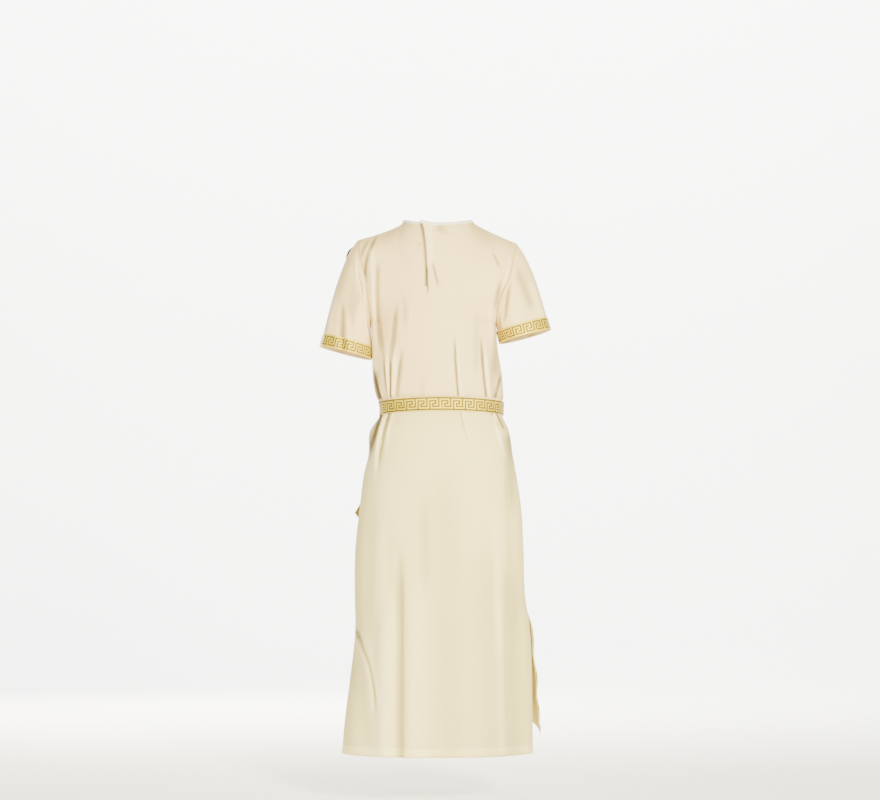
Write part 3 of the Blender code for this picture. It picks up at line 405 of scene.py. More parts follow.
class CostumeColours(bpy.types.PropertyGroup):
    cream: bpy.props.FloatVectorProperty(
        name="Cream cloth", description="Colour of the bodice cloth", size=3,
        default=(0.875, 0.665, 0.300), min=0.0, max=1.0, subtype='COLOR')
    # Painted light: the cloth below the belt is given this yellower cream for how light falls there
    cream_low_light_tint: bpy.props.FloatVectorProperty(
        name="Cream cloth, low", description="Colour of the skirt cloth", size=3,
        default=(0.860, 0.735, 0.300), min=0.0, max=1.0, subtype='COLOR')
    # Painted shade: mixed in by the tone attribute in creases, at the sides and beside the belt
    shadow: bpy.props.FloatVectorProperty(
        name="Crease", description="Colour of the cloth deep in a crease", size=3,
        default=(0.120, 0.085, 0.028), min=0.0, max=1.0, subtype='COLOR')
    # Painted highlight: mixed in by the tone attribute on ridges of folds and on the slit's flap
    highlight: bpy.props.FloatVectorProperty(
        name="Ridge", description="Colour of the cloth on the ridge of a fold", size=3,
        default=(0.980, 0.850, 0.480), min=0.0, max=1.0, subtype='COLOR')
    gold_light: bpy.props.FloatVectorProperty(
        name="Gold key", description="Colour of the raised key", size=3,
        default=(0.760, 0.560, 0.030), min=0.0, max=1.0, subtype='COLOR')
    gold_dark: bpy.props.FloatVectorProperty(
        name="Gold ground", description="Colour of the ground between the keys", size=3,
        default=(0.130, 0.090, 0.007), min=0.0, max=1.0, subtype='COLOR')
    metal: bpy.props.FloatVectorProperty(
        name="Brooch", description="Colour of the darkened metal", size=3,
        default=(0.060, 0.055, 0.042), min=0.0, max=1.0, subtype='COLOR')
    floor: bpy.props.FloatVectorProperty(
        name="Floor", description="Colour of the floor and backdrop", size=3,
        default=(0.940, 0.940, 0.940), min=0.0, max=1.0, subtype='COLOR')


# Reading the tables


def curve(table, key, column):
    """Smooth curve through one column of a table, which reads many places at once."""
    rows = sorted(table, key=lambda row: getattr(row, key))
    places = np.array([getattr(row, key) for row in rows])
    values = np.array([getattr(row, column) for row in rows])
    slopes = np.gradient(values, places)

    def at(where):
        where = np.clip(where, places[0], places[-1])
        index = np.clip(np.searchsorted(places, where, side='right') - 1, 0, len(rows) - 2)
        span = places[index + 1] - places[index]
        f = (where - places[index]) / span
        return (values[index] * (1 + 2 * f) * (1 - f) ** 2
                + slopes[index] * span * f * (1 - f) ** 2
                + values[index + 1] * f * f * (3 - 2 * f)
                + slopes[index + 1] * span * f * f * (f - 1))
    return at


def blend(start, end, share):
    return start + (end - start) * share


def bowed(start, middle, end, share):
    """Line through three values at even steps of the share."""
    bend = 4 * middle - 2 * start - 2 * end
    return blend(start, end, share) + bend * share * (1 - share)


def unit(vectors):
    return vectors / np.linalg.norm(vectors, axis=-1, keepdims=True)


def smooth_step(share):
    share = np.clip(share, 0.0, 1.0)
    return share * share * (3 - 2 * share)


WIDTH = {1: curve(SECTIONS, "z", "left"), -1: curve(SECTIONS, "z", "right")}
DEPTH = {1: curve(SECTIONS, "z", "back"), -1: curve(SECTIONS, "z", "front")}
ARMHOLE_X = {1: curve(ARMHOLES, "z", "left"), -1: curve(ARMHOLES, "z", "right")}
DRAPE_INNER = curve(DRAPE_CHEST, "h", "inner")
DRAPE_OUTER = curve(DRAPE_CHEST, "h", "outer")
DRAPE_WAVE = curve(DRAPE_EDGE, "z", "out")


# The surface of the tunic


def belt_share(z, reach=0.012):
    """1 under the belt, fading to 0 within a reach above and below it."""
    away = np.maximum(np.maximum(z - BELT_TOP, BELT_BOTTOM - z), 0.0)
    return 1 - smooth_step(away / reach)


def fold_shape(fold, x, z):
    """How strong a fold is at each point, and how far the point lies from its line."""
    share = (fold.z_top - z) / (fold.z_top - fold.z_low)
    line = bowed(fold.x_top, fold.x_mid, fold.x_low, share)
    ends = smooth_step((fold.z_top - z) / fold.fade_top)
    ends = ends * smooth_step((z - fold.z_low) / fold.fade_low)
    return ends, (x - line) / fold.half_width


def fold_depth(face, x, z):
    """How far the folds move the points of a face outwards."""
    total = np.zeros_like(x)
    for fold in FOLDS:
        if fold.face == face and fold.depth:
            ends, q = fold_shape(fold, x, z)
            shape = (1 - abs(fold.lean)) * np.exp(-q * q) + fold.lean * q * np.exp(0.5 - q * q)
            total += fold.depth * ends * shape
    return total * (1 - belt_share(z, 0.005)) * bpy.context.scene.costume_sizes.fold_share


def fold_tone(face, x, z):
    """Painted shade (below 0) and highlight that the folds put on the points of a face."""
    total = np.zeros_like(x)
    for fold in FOLDS:
        if fold.face != face:
            continue
        tone = fold.tone
        if tone is None:
            narrow = min(1.0, max(0.2, 0.004 / fold.half_width))
            tone = math.copysign(min(1.0, abs(fold.depth) / 0.0040) * narrow, fold.depth)
        ends, q = fold_shape(fold, x, z)
        total += 1.7 * tone * ends * np.exp(-q * q)
    return np.clip(total, -1.0, 1.0)


def tube(angle, z, folds=True):
    """Points of the tunic below the armpit; the angle runs from the middle of the back."""
    angle, z = np.broadcast_arrays(np.asarray(angle, float), np.asarray(z, float))
    left, right = WIDTH[1](z), WIDTH[-1](z)
    across, along = np.sin(angle), np.cos(angle)
    depth = np.where(along >= 0, DEPTH[1](z), DEPTH[-1](z))
    x = (left - right) / 2 + (left + right) / 2 * across
    y = depth * along * (1 + ROUNDNESS * across * across)
    push = np.zeros_like(x)
    if folds:
        push = np.where(along >= 0, fold_depth(1, x, z), fold_depth(-1, x, z))
        push = push * np.minimum(1.0, abs(along) * 3)
    sag = BELT_SAG * across * across * np.exp(-((z - BELT_TOP) / 0.06) ** 2)
    return np.stack([x + push * across, y + push * along, z - sag], axis=-1)


def top_edge(face, t):
    """Points of the neck edge and of the shoulder seams at the columns t."""
    turn = np.clip(t / NECK_SHARE, -1, 1) * math.pi / 2
    level = np.maximum(np.cos(turn), 0.0)
    neck = np.stack([NECK_HALF * np.sin(turn), NECK_DEPTH[face] * level,
                     -NECK_DROP[face] * level ** 1.4], axis=-1)
    share = np.clip((abs(t) - NECK_SHARE) / (1 - NECK_SHARE), 0.0, 1.0)
    left = t >= 0
    tip_x = np.where(left, TIP[1][0], TIP[-1][0])
    tip_z = np.where(left, TIP[1][1], TIP[-1][1])
    power = np.where(left, SHOULDER_CURVE[1], SHOULDER_CURVE[-1])
    neck_x = np.where(left, NECK_HALF, -NECK_HALF)
    seam = np.stack([blend(neck_x, tip_x, share), np.zeros_like(share),
                     tip_z * share ** power], axis=-1)
    return np.where((abs(t) <= NECK_SHARE)[..., None], neck, seam)


def yoke_base(face, t, s):
    """Smooth part of the tunic above the armpit: s is 0 at the top and 1 at the armpit."""
    z = {side: blend(TIP[side][1], ARMPIT, (1 - np.cos(math.pi * s)) / 2) for side in (1, -1)}
    left, right = ARMHOLE_X[1](z[1]), -ARMHOLE_X[-1](z[-1])
    even = 0.6 * (1 - s ** 3)
    across = (1 - even) * np.sin(t * math.pi / 2) + even * t
    edge_z = blend(z[-1], z[1], (across + 1) / 2)
    edge_y = ARMHOLE_DEPTH[face] * np.sin(math.pi * s)
    centre_y = blend(NECK_DEPTH[face], DEPTH[face](ARMPIT), np.sin(s * math.pi / 2))
    drop = 0.4 * s + 0.6 * (1 - np.cos(s * math.pi / 2))
    centre_z = blend(-NECK_DROP[face], ARMPIT, drop)
    crown = np.maximum(0.0, 1 - across * across)
    round_off = crown ** (1 - 0.5 * s ** 4) * (1 + ROUNDNESS * across * across * s ** 4)
    return np.stack([(left + right) / 2 + (left - right) / 2 * across,
                     edge_y + (centre_y - edge_y) * round_off,
                     edge_z + (centre_z - edge_z) * crown], axis=-1)


def slit_shift(t, s, h):
    """Sideways move that lays the slit's column on its line, fading to both sides and below."""
    share = np.clip(h / SLIT_END, 0.0, 1.0)
    line = bowed(*SLIT_LINE, share)
    column = np.full_like(t, SLIT_COLUMN)
    place = yoke_base(1, column, s)[..., 0]
    start = top_edge(1, column) - yoke_base(1, column, np.zeros_like(s))
    place = place + start[..., 0] * (1 - s) ** 3
    near = np.exp(-((t - SLIT_COLUMN) / 0.20) ** 2)
    return (line - place) * near * smooth_step((h - ARMPIT) / (SLIT_END - ARMPIT))


def panel(face, t, h):
    """Points of the back (+1) or front (-1): t runs from side to side, h is the height."""
    t, h = np.broadcast_arrays(np.asarray(t, float), np.asarray(h, float))
    angle = t * math.pi / 2 if face == 1 else math.pi - t * math.pi / 2
    low = tube(angle, np.minimum(h, ARMPIT))
    s = np.clip(h / ARMPIT, 0.0, 1.0)
    high = yoke_base(face, t, s)
    high = high + (top_edge(face, t) - yoke_base(face, t, np.zeros_like(s))) \
        * ((1 - s) ** 3)[..., None]
    high[..., 1] += fold_depth(face, high[..., 0], high[..., 2]) * smooth_step(s * 3)
    tuck = smooth_step(1 - (1 - abs(t)) / 0.035) * smooth_step(s * 12) * smooth_step((1 - s) * 6)
    high[..., 1] -= SEAM_TUCK * tuck
    if face == 1:
        high[..., 0] += slit_shift(t, s, h)
    high[..., 1] *= face
    points = np.where((h <= ARMPIT)[..., None], low, high)
    points[..., 1] += face * SEAM_HALF_GAP
    return points


def grid_normals(points, closed=False):
    """Unit normals of a grid of points, rows by columns, pointing away from the middle."""
    if closed:
        wrapped = np.concatenate([points[:, -2:-1], points, points[:, 1:2]], axis=1)
        along = np.gradient(wrapped, axis=1)[:, 1:-1]
    else:
        along = np.gradient(points, axis=1)
    normals = np.cross(along, np.gradient(points, axis=0))
    return normals / np.maximum(np.linalg.norm(normals, axis=2, keepdims=True), 1e-12)


def outward_normals(points, closed=False):
    """Unit normals of a grid, turned as one to point away from the upright middle line."""
    normals = grid_normals(points, closed)
    votes = np.sum(normals * (points - points * np.array([0.0, 0.0, 1.0])))
    return normals if votes > 0 else -normals


def flap_lift(share, t):
    """How far the right flap of the slit stands out: share is 1 at the neck, 0 at its end."""
    near = 1 - smooth_step((SLIT_COLUMN - t) / 0.14)
    return (SLIT_LIFT + SLIT_LIFT_NECK * share) * smooth_step(share * 7) * near


# Making meshes


def lengths(points, axis):
    """Running length along one axis of a grid, in metres."""
    steps = np.linalg.norm(np.diff(points, axis=axis), axis=2)
    zero = np.zeros_like(steps[:, :1] if axis == 1 else steps[:1])
    return np.cumsum(np.concatenate([zero, steps], axis=axis), axis=axis)


def run_of(line):
    """Running length along a line of points."""
    return np.concatenate([[0.0], np.cumsum(np.linalg.norm(np.diff(line, axis=0), axis=1))])


def cloth_grid(points, closed=False, tone=None):
    """A grid laid through points, rows by columns, with a map in metres along the cloth.

    A closed grid repeats its first column at the end, and the two are merged. The tone of each
    point, its painted shade and highlight, if there is one, is kept with it for the material.
    """
    rows, columns = points.shape[:2]
    across, down = lengths(points, 1), lengths(points, 0)
    across = across - across[:, columns // 2:columns // 2 + 1]
    bm = bmesh.new()
    bmesh.ops.create_grid(bm, x_segments=columns - 1, y_segments=rows - 1, size=0.5)
    metres = bm.loops.layers.uv.new("cloth")
    shades = bm.verts.layers.float.new("tone")
    cells = {}
    for vert in bm.verts:
        column = round((vert.co.x + 0.5) * (columns - 1))
        row = round((0.5 - vert.co.y) * (rows - 1))
        cells[vert] = (row, column)
    for face in bm.faces:
        for loop in face.loops:
            cell = cells[loop.vert]
            loop[metres].uv = (across[cell], -down[cell])
    for vert, cell in cells.items():
        vert.co = points[cell]
        vert[shades] = 0.0 if tone is None else float(tone[cell])
    if closed:
        bmesh.ops.remove_doubles(bm, verts=bm.verts[:], dist=1e-6)
    return bm, cells


def face_out(bm, normals_ok):
    """Turn every face if most of them point inwards."""
    bm.normal_update()
    votes = sum(face.normal.dot(normals_ok(face.calc_center_median())) for face in bm.faces)
    if votes < 0:
        bmesh.ops.reverse_faces(bm, faces=bm.faces[:])


def away_from_axis(centre):
    return Vector((centre.x, centre.y, 0.001))


def away_from_sleeve(side):
    cuff = CUFF[side]
    low = Vector(((cuff.inner_x + cuff.outer_x) / 2, 0.0, (cuff.inner_z + cuff.outer_z) / 2))
    high = Vector((side * 0.125, 0.0, -0.115))
    axis = (low - high).normalized()

    def away(centre):
        offset = centre - high
        return offset - axis * offset.dot(axis)
    return away


def make_piece(name, bm, materials, nodes, wall=0.0):
    """Finish a bmesh as a piece of the costume that stands for some of the frame's nodes."""
    mesh = bpy.data.meshes.new(name)
    bm.to_mesh(mesh)
    bm.free()
    mesh.shade_smooth()
    mesh.set_sharp_from_angle(angle=math.radians(48))
    for material in materials:
        mesh.materials.append(material)
    piece = bpy.data.objects.new(name, mesh)
    bpy.context.scene.collection.objects.link(piece)
    if wall:
        solidify = piece.modifiers.new("wall", 'SOLIDIFY')
        solidify.thickness = wall
        solidify.offset = -1.0
        solidify.use_even_offset = False
        solidify.use_quality_normals = True
    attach(piece, BODY)
    if nodes:
        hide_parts(*nodes)
    return piece


# Materials


def new_material(name):
    """A material with its tree, its shader and the piece's own coordinates."""
    material = bpy.data.materials.new(name)
    material.use_nodes = True
    tree = material.node_tree
    place = tree.nodes.new('ShaderNodeTexCoord').outputs["Object"]
    return material, tree, tree.nodes["Principled BSDF"], place


def add_node(tree, kind, **settings):
    node = tree.nodes.new(kind)
    for key, value in settings.items():
        setattr(node, key, value)
    return node


def math_node(tree, operation, first, second=0.0):
    node = add_node(tree, 'ShaderNodeMath', operation=operation)
    for socket, value in zip(node.inputs, (first, second)):
        if isinstance(value, (int, float)):
            socket.default_value = value
        else:
            tree.links.new(value, socket)
    return node.outputs[0]


def noise_node(tree, vector, scale, detail=3.0, rough=0.55):
    node = add_node(tree, 'ShaderNodeTexNoise')
    node.inputs["Scale"].default_value = scale
    node.inputs["Detail"].default_value = detail
    node.inputs["Roughness"].default_value = rough
    tree.links.new(vector, node.inputs["Vector"])
    return node.outputs["Fac"]


def mix_colours(tree, share, first, second):
    node = add_node(tree, 'ShaderNodeMix', data_type='RGBA')
    for socket, value in zip((node.inputs[0], node.inputs[6], node.inputs[7]),
                             (share, first, second)):
        if isinstance(value, (int, float, tuple)):
            socket.default_value = value
        else:
            tree.links.new(value, socket)
    return node.outputs[2]


def shade(colour, factor):
    return tuple(min(1.0, c * factor) for c in colour) + (1.0,)


def step_between(tree, value, low, high):
    """Soft step from 0 at one value to 1 at another."""
    node = add_node(tree, 'ShaderNodeMapRange', interpolation_type='SMOOTHSTEP')
    node.inputs["From Min"].default_value = low
    node.inputs["From Max"].default_value = high
    tree.links.new(value, node.inputs["Value"])
    return node.outputs[0]


def vary_roughness(tree, shader, value, low, high):
    node = add_node(tree, 'ShaderNodeMapRange')
    node.inputs["To Min"].default_value = low
    node.inputs["To Max"].default_value = high
    tree.links.new(value, node.inputs["Value"])
    tree.links.new(node.outputs[0], shader.inputs["Roughness"])


def thread_height(tree, uv, across_scale, down_scale):
    """Height of a plain weave with that many threads to the metre each way."""
    split = add_node(tree, 'ShaderNodeSeparateXYZ')
    tree.links.new(uv, split.inputs[0])
    warp = math_node(tree, 'SINE', math_node(tree, 'MULTIPLY', split.outputs[0],
                                             across_scale * math.pi))
    weft = math_node(tree, 'SINE', math_node(tree, 'MULTIPLY', split.outputs[1],
                                             down_scale * math.pi))
    return math_node(tree, 'MULTIPLY', warp, weft)


def bump_into(tree, shader, layers):
    """Chain bumps, each a (height, strength, distance), into the shader's normal."""
    normal = None
    for height, strength, distance in layers:
        bump = add_node(tree, 'ShaderNodeBump')
        bump.inputs["Strength"].default_value = strength
        bump.inputs["Distance"].default_value = distance
        tree.links.new(height, bump.inputs["Height"])
        if normal is not None:
            tree.links.new(normal, bump.inputs["Normal"])
        normal = bump.outputs["Normal"]
    tree.links.new(normal, shader.inputs["Normal"])


def cream_cloth(name, lighter=1.0):
    """Soft matt polyester crepe: cream, with a fine pebbled weave and faint uneven shade."""
    colours = bpy.context.scene.costume_colours
    sizes = bpy.context.scene.costume_sizes
    material, tree, shader, place = new_material(name)
    uv = add_node(tree, 'ShaderNodeUVMap', uv_map="cloth").outputs["UV"]
    height = add_node(tree, 'ShaderNodeSeparateXYZ')
    tree.links.new(place, height.inputs[0])

    # Painted light: the yellower cream of the skirt, blending in across the belt
    low_share = step_between(tree, height.outputs[2], BELT_TOP + 0.03, BELT_BOTTOM - 0.05)
    base = mix_colours(tree, low_share, shade(colours.cream, lighter),
                       shade(colours.cream_low_light_tint, lighter))

    mottle = noise_node(tree, place, 14.0, 4.0)
    base = mix_colours(tree, math_node(tree, 'MULTIPLY', mottle, 0.10), base,
                       shade(colours.cream, 0.86 * lighter))
    slub = add_node(tree, 'ShaderNodeMapping')
    slub.inputs["Scale"].default_value = (900.0, 55.0, 1.0)
    tree.links.new(uv, slub.inputs["Vector"])
    streak = noise_node(tree, slub.outputs[0], 1.0, 2.0)
    base = mix_colours(tree, math_node(tree, 'MULTIPLY', streak, 0.09), base,
                       shade(colours.cream, 0.80 * lighter))

    turn = HEM + sizes.hem_turn
    hem = step_between(tree, height.outputs[2], turn + 0.0008, turn - 0.0004)
    base = mix_colours(tree, math_node(tree, 'MULTIPLY', hem, 0.90), base,
                       shade(colours.cream_low_light_tint, 1.17 * lighter))
    # Painted shade and highlight: below 0 the tone mixes in the crease colour, in creases, at the
    # sides and by the belt; above 0 it mixes in the ridge colour
    tone = add_node(tree, 'ShaderNodeAttribute', attribute_name="tone").outputs["Fac"]
    dark = math_node(tree, 'MULTIPLY', math_node(tree, 'MINIMUM', tone), -0.95)
    base = mix_colours(tree, dark, base, shade(colours.shadow, 1.0))
    bright = math_node(tree, 'MULTIPLY', math_node(tree, 'MAXIMUM', tone), 0.75)
    base = mix_colours(tree, bright, base, shade(colours.highlight, 1.0))
    tree.links.new(base, shader.inputs["Base Color"])

    vary_roughness(tree, shader, mottle, 0.70, 0.86)
    shader.inputs["Sheen Weight"].default_value = 0.03
    shader.inputs["Sheen Roughness"].default_value = 0.45
    shader.inputs["Sheen Tint"].default_value = (1.0, 0.96, 0.86, 1.0)
    shader.inputs["Specular IOR Level"].default_value = 0.16

    weave = thread_height(tree, uv, 2200.0, 2200.0)
    crepe = noise_node(tree, place, 900.0, 2.0, 0.6)
    soft = noise_node(tree, place, 60.0, 3.0, 0.5)
    bump_into(tree, shader, [(soft, 0.10, 0.002), (crepe, 0.28, 0.0004), (weave, 0.22, 0.0002)])
    return material


def ribbon_thread(name, colour, metallic, roughness, ribs):
    """Woven gold thread: ribs across the ribbon, a glint that varies and slight wear."""
    material, tree, shader, place = new_material(name)
    uv = add_node(tree, 'ShaderNodeUVMap', uv_map="cloth").outputs["UV"]
    weave = thread_height(tree, uv, ribs, ribs * 0.55)
    share = math_node(tree, 'MULTIPLY_ADD', weave, 0.5)
    share.node.inputs[2].default_value = 0.5
    base = mix_colours(tree, share, shade(colour, 0.78), shade(colour, 1.10))
    wear = noise_node(tree, place, 160.0, 3.0)
    base = mix_colours(tree, math_node(tree, 'MULTIPLY', wear, 0.05), base,
                       shade((0.86, 0.74, 0.32), 1.0))
    tree.links.new(base, shader.inputs["Base Color"])
    shader.inputs["Metallic"].default_value = metallic
    vary_roughness(tree, shader, wear, roughness - 0.08, roughness + 0.12)
    shader.inputs["Specular IOR Level"].default_value = 0.12
    bump_into(tree, shader, [(weave, 0.55, 0.0002)])
    return material


def ribbon_materials():
    """Dark threads, light threads and fringe, in the order of the material slots."""
    if "ribbon_light" in bpy.data.materials:
        return [bpy.data.materials[n] for n in ("ribbon_dark", "ribbon_light", "ribbon_fringe")]
    colours = bpy.context.scene.costume_colours
    edge = [blend(gold, cream, 0.20) for gold, cream in zip(colours.gold_light,
                                                            colours.cream)]
    return [
        ribbon_thread("ribbon_dark", colours.gold_dark, 0.40, 0.52, 1500.0),
        ribbon_thread("ribbon_light", colours.gold_light, 0.35, 0.48, 1100.0),
        ribbon_thread("ribbon_fringe", edge, 0.30, 0.58, 1900.0),
    ]


def shared(name, maker, *facts):
    """A material by name, made the first time it is asked for."""
    return bpy.data.materials.get(name) or maker(name, *facts)


def sewing_thread(name, dark, light, roughness):
    """Spun thread, a little glossier than the cloth."""
    material, tree, shader, place = new_material(name)
    twist = noise_node(tree, place, 2500.0, 1.0)
    tree.links.new(mix_colours(tree, twist, dark, light), shader.inputs["Base Color"])
    shader.inputs["Roughness"].default_value = roughness
    bump_into(tree, shader, [(twist, 0.4, 0.0002)])
    return material


def brooch_metal(name):
    """Darkened metal, rubbed brighter on what stands up."""
    colours = bpy.context.scene.costume_colours
    material, tree, shader, place = new_material(name)
    grime = noise_node(tree, place, 220.0, 5.0, 0.65)
    edge = add_node(tree, 'ShaderNodeNewGeometry').outputs["Pointiness"]
    rub = add_node(tree, 'ShaderNodeMapRange')
    rub.inputs["From Min"].default_value = 0.52
    rub.inputs["From Max"].default_value = 0.62
    tree.links.new(edge, rub.inputs["Value"])
    base = mix_colours(tree, grime, shade(colours.metal, 0.7), shade(colours.metal, 1.5))
    base = mix_colours(tree, math_node(tree, 'MULTIPLY', rub.outputs[0], 0.5), base,
                       (0.24, 0.21, 0.15, 1.0))
    tree.links.new(base, shader.inputs["Base Color"])
    shader.inputs["Metallic"].default_value = 0.9
    vary_roughness(tree, shader, grime, 0.45, 0.70)
    bump_into(tree, shader, [(grime, 0.25, 0.0003)])
    return material


def cloth_piece(name, node, bm):
    """Finish a bmesh as a piece of the cream cloth."""
    return make_piece(name, bm, [shared("cream_cloth", cream_cloth)], [node],
                      bpy.context.scene.costume_sizes.cloth_wall)


# Rows and columns of the tunic


def heights():
    """Heights of the rows, closer together at the neck and round the belt."""
    spans = [(0.0, -0.030, 12), (-0.030, ARMPIT, 43), (ARMPIT, -0.290, 32), (-0.290, BELT_TOP, 14),
             (BELT_TOP, BELT_BOTTOM, 5), (BELT_BOTTOM, -0.400, 20), (-0.400, -0.560, 29),
             (-0.560, HEM, 56)]
    rows = [0.0]
    for start, end, count in spans:
        rows += [blend(start, end, (i + 1) / count) for i in range(count)]
    return np.array(rows)


def columns(count):
    """Shares of the columns of a panel, closer together towards its sides."""
    even = np.linspace(-1.0, 1.0, count)
    return even + 0.3 * np.sin(math.pi * even) / math.pi


def cloth_tone(face, points, t):
    """Painted shade and highlight of a panel: folds, side seams, and above and below the belt."""
    x, z = points[..., 0], points[..., 2]
    # Painted shade at the sides, deeper round the waist and on the left, where the cloth turns away
    # from the light; painted shadow along the belt's top and bottom edges
    side = smooth_step(1 - (1 - abs(t)) / 0.30)
    waist = np.exp(-((z + 0.375) / 0.080) ** 2)
    shade_side = np.where(t > 0, 0.66, 0.46) * side * waist + 0.14 * side
    above = np.exp(-np.maximum(z - BELT_TOP, 0.0) / 0.004) * (z > BELT_TOP - 0.001)
    below = np.exp(-np.maximum(BELT_BOTTOM - z, 0.0) / 0.003) * (z < BELT_BOTTOM + 0.001)
    return fold_tone(face, x, z) - shade_side - 0.34 * above - 0.34 * below


def hem_dent(points, normals):
    """Press the line of stitches along the turned-up hem slightly into the cloth."""
    turn = bpy.context.scene.costume_sizes.hem_turn
    away = (points[..., 2] - (HEM + turn)) / 0.0028
    below = smooth_step((HEM + turn - points[..., 2]) / 0.003)
    return points + normals * (below * 0.0003 - np.exp(-away * away) * 0.0005)[..., None]


class COSTUME_OT_tunic_back(bpy.types.Operator):
    """Make the back of the tunic, with the lapped slit at the neck"""
    bl_idname = "costume.tunic_back"
    bl_label = "Tunic back"

    def execute(self, context):
        t = columns(231)
        cut = int(np.argmin(abs(t - SLIT_COLUMN)))
        t[cut] = SLIT_COLUMN
        h = heights()
        end = int(np.argmin(abs(h - SLIT_END)))
        points = panel(1, t[None, :], h[:, None])
        normals = outward_normals(points)
        points = hem_dent(points, normals)
        tone = cloth_tone(1, points, t)
        # Painted highlight on the edge of the slit's lifted flap, and the flap's painted shadow on
        # the cloth beside it
        tone[:end, cut - 2:cut] += np.array([0.4, 0.6])
        tone[:end, cut + 1:cut + 4] -= np.array([0.95, 0.65, 0.25])
        bm, cells = cloth_grid(points, tone=np.clip(tone, -1.0, 1.0))
        slit = [edge for edge in bm.edges
                if all(cells[vert][1] == cut and cells[vert][0] <= end for vert in edge.verts)]
        places = {self.place(points[row, cut]): row for row in range(end)}
        for vert, (row, column) in cells.items():
            if column < cut and row < end:
                vert.co += Vector(normals[row, column] * flap_lift(1 - row / end, t[column]))
        bmesh.ops.split_edges(bm, edges=slit)
        under = {}
        for vert in bm.verts:
            row = places.get(self.place(vert.co))
            if row is None:
                continue
            middle = sum(face.calc_center_median().x for face in vert.link_faces)
            if middle / len(vert.link_faces) < vert.co.x:
                vert.co += Vector(normals[row, cut] * flap_lift(1 - row / end, SLIT_COLUMN))
            else:
                under[vert] = row
        self.lay_under(bm, under, normals[:, cut], end)
        face_out(bm, away_from_axis)
        piece = cloth_piece("tunic_back", "back", bm)
        return {'FINISHED'}

    def place(self, point):
        return tuple(round(value * 1e6) for value in point)

    def lay_under(self, bm, under, normals, end):
        """Widen the left flap below the right one, narrowing to nothing at the slit's end."""
        edges = [edge for edge in bm.edges
                 if edge.is_boundary and all(vert in under for vert in edge.verts)]
        rows = {self.place(vert.co): row for vert, row in under.items()}
        made = bmesh.ops.extrude_edge_only(bm, edges=edges)["geom"]
        for vert in made:
            if isinstance(vert, bmesh.types.BMVert):
                row = rows[self.place(vert.co)]
                share = 1 - row / end
                vert.co.x -= UNDERLAP * smooth_step(share * 3) * (0.45 + 0.55 * share)
                vert.co -= Vector(normals[row] * 0.0004)


class COSTUME_OT_tunic_front(bpy.types.Operator):
    """Make the front of the tunic"""
    bl_idname = "costume.tunic_front"
    bl_label = "Tunic front"

    def execute(self, context):
        t = columns(181)
        points = panel(-1, t[None, :], heights()[:, None])
        normals = outward_normals(points)
        bm, _ = cloth_grid(hem_dent(points, normals), tone=cloth_tone(-1, points, t))
        face_out(bm, away_from_axis)
        piece = cloth_piece("tunic_front", "front", bm)
        return {'FINISHED'}


# Sleeves


def armhole_ring(side, turn):
    """Points of the armhole: the turn runs from the shoulder tip down the back and up."""
    turn = np.mod(turn, 2 * math.pi)
    share = np.where(turn <= math.pi, turn, 2 * math.pi - turn) / math.pi
    column = np.full_like(share, float(side))
    ring = np.where((turn <= math.pi)[..., None], panel(1, column, share * ARMPIT),
                    panel(-1, column, share * ARMPIT))
    ring[..., 1] -= np.where(turn <= math.pi, 1, -1) * SEAM_HALF_GAP
    return ring + np.array([side * SLEEVE_GAP, 0.0, 0.0])


def sleeve_points(side, turn, share):
    """Points of a sleeve: the share runs from the armhole to the cuff."""
    turn, share = np.broadcast_arrays(np.asarray(turn, float), np.asarray(share, float))
    cuff = CUFF[side]
    start = armhole_ring(side, turn)
    inner = np.array([cuff.inner_x, 0.0, cuff.inner_z])
    outer = np.array([cuff.outer_x, 0.0, cuff.outer_z])
    centre, half = (inner + outer) / 2, (outer - inner) / 2
    axis = np.array([-half[2], 0.0, half[0]]) / np.linalg.norm(half)
    axis *= -np.sign(axis[2])
    end = centre + half * np.cos(turn)[..., None]
    end[..., 1] += cuff.half_depth * np.sin(turn)
    top = (1 + np.cos(turn)) / 2
    reach = np.linalg.norm(end - start, axis=-1)
    leave = np.stack([side * blend(0.07, 0.52, top), 0.26 * np.sin(turn),
                      -blend(1.0, 0.62, top)], axis=-1) * reach[..., None]
    arrive = axis * reach[..., None]
    f = share[..., None]
    return (start * (1 + 2 * f) * (1 - f) ** 2 + leave * f * (1 - f) ** 2
            + end * f * f * (3 - 2 * f) + arrive * f * f * (f - 1))


def cuff_share(side, turn, width):
    """Share of a sleeve's length at which a line lies at a distance above the cuff."""
    reach = np.linalg.norm(sleeve_points(side, turn, 1.0) - armhole_ring(side, turn), axis=-1)
    return 1 - width / reach


def sleeve_folds(side, turn, share):
    """Depth and tone of the folds of a sleeve."""
    depth, tone = np.zeros_like(turn), np.zeros_like(turn)
    degrees = np.mod(np.degrees(turn), 360)
    for fold in SLEEVE_FOLDS:
        if fold.side != side:
            continue
        along = (share - fold.share_top) / (fold.share_low - fold.share_top)
        line = blend(fold.turn_top, fold.turn_low, along)
        ends = smooth_step((share - fold.share_top) / fold.fade)
        ends = ends * smooth_step((fold.share_low + fold.fade - share) / fold.fade)
        shape = ends * np.exp(-((degrees - line) / fold.width) ** 2)
        depth += fold.depth * shape
        tone += fold.tone * shape
    return depth * bpy.context.scene.costume_sizes.fold_share, tone


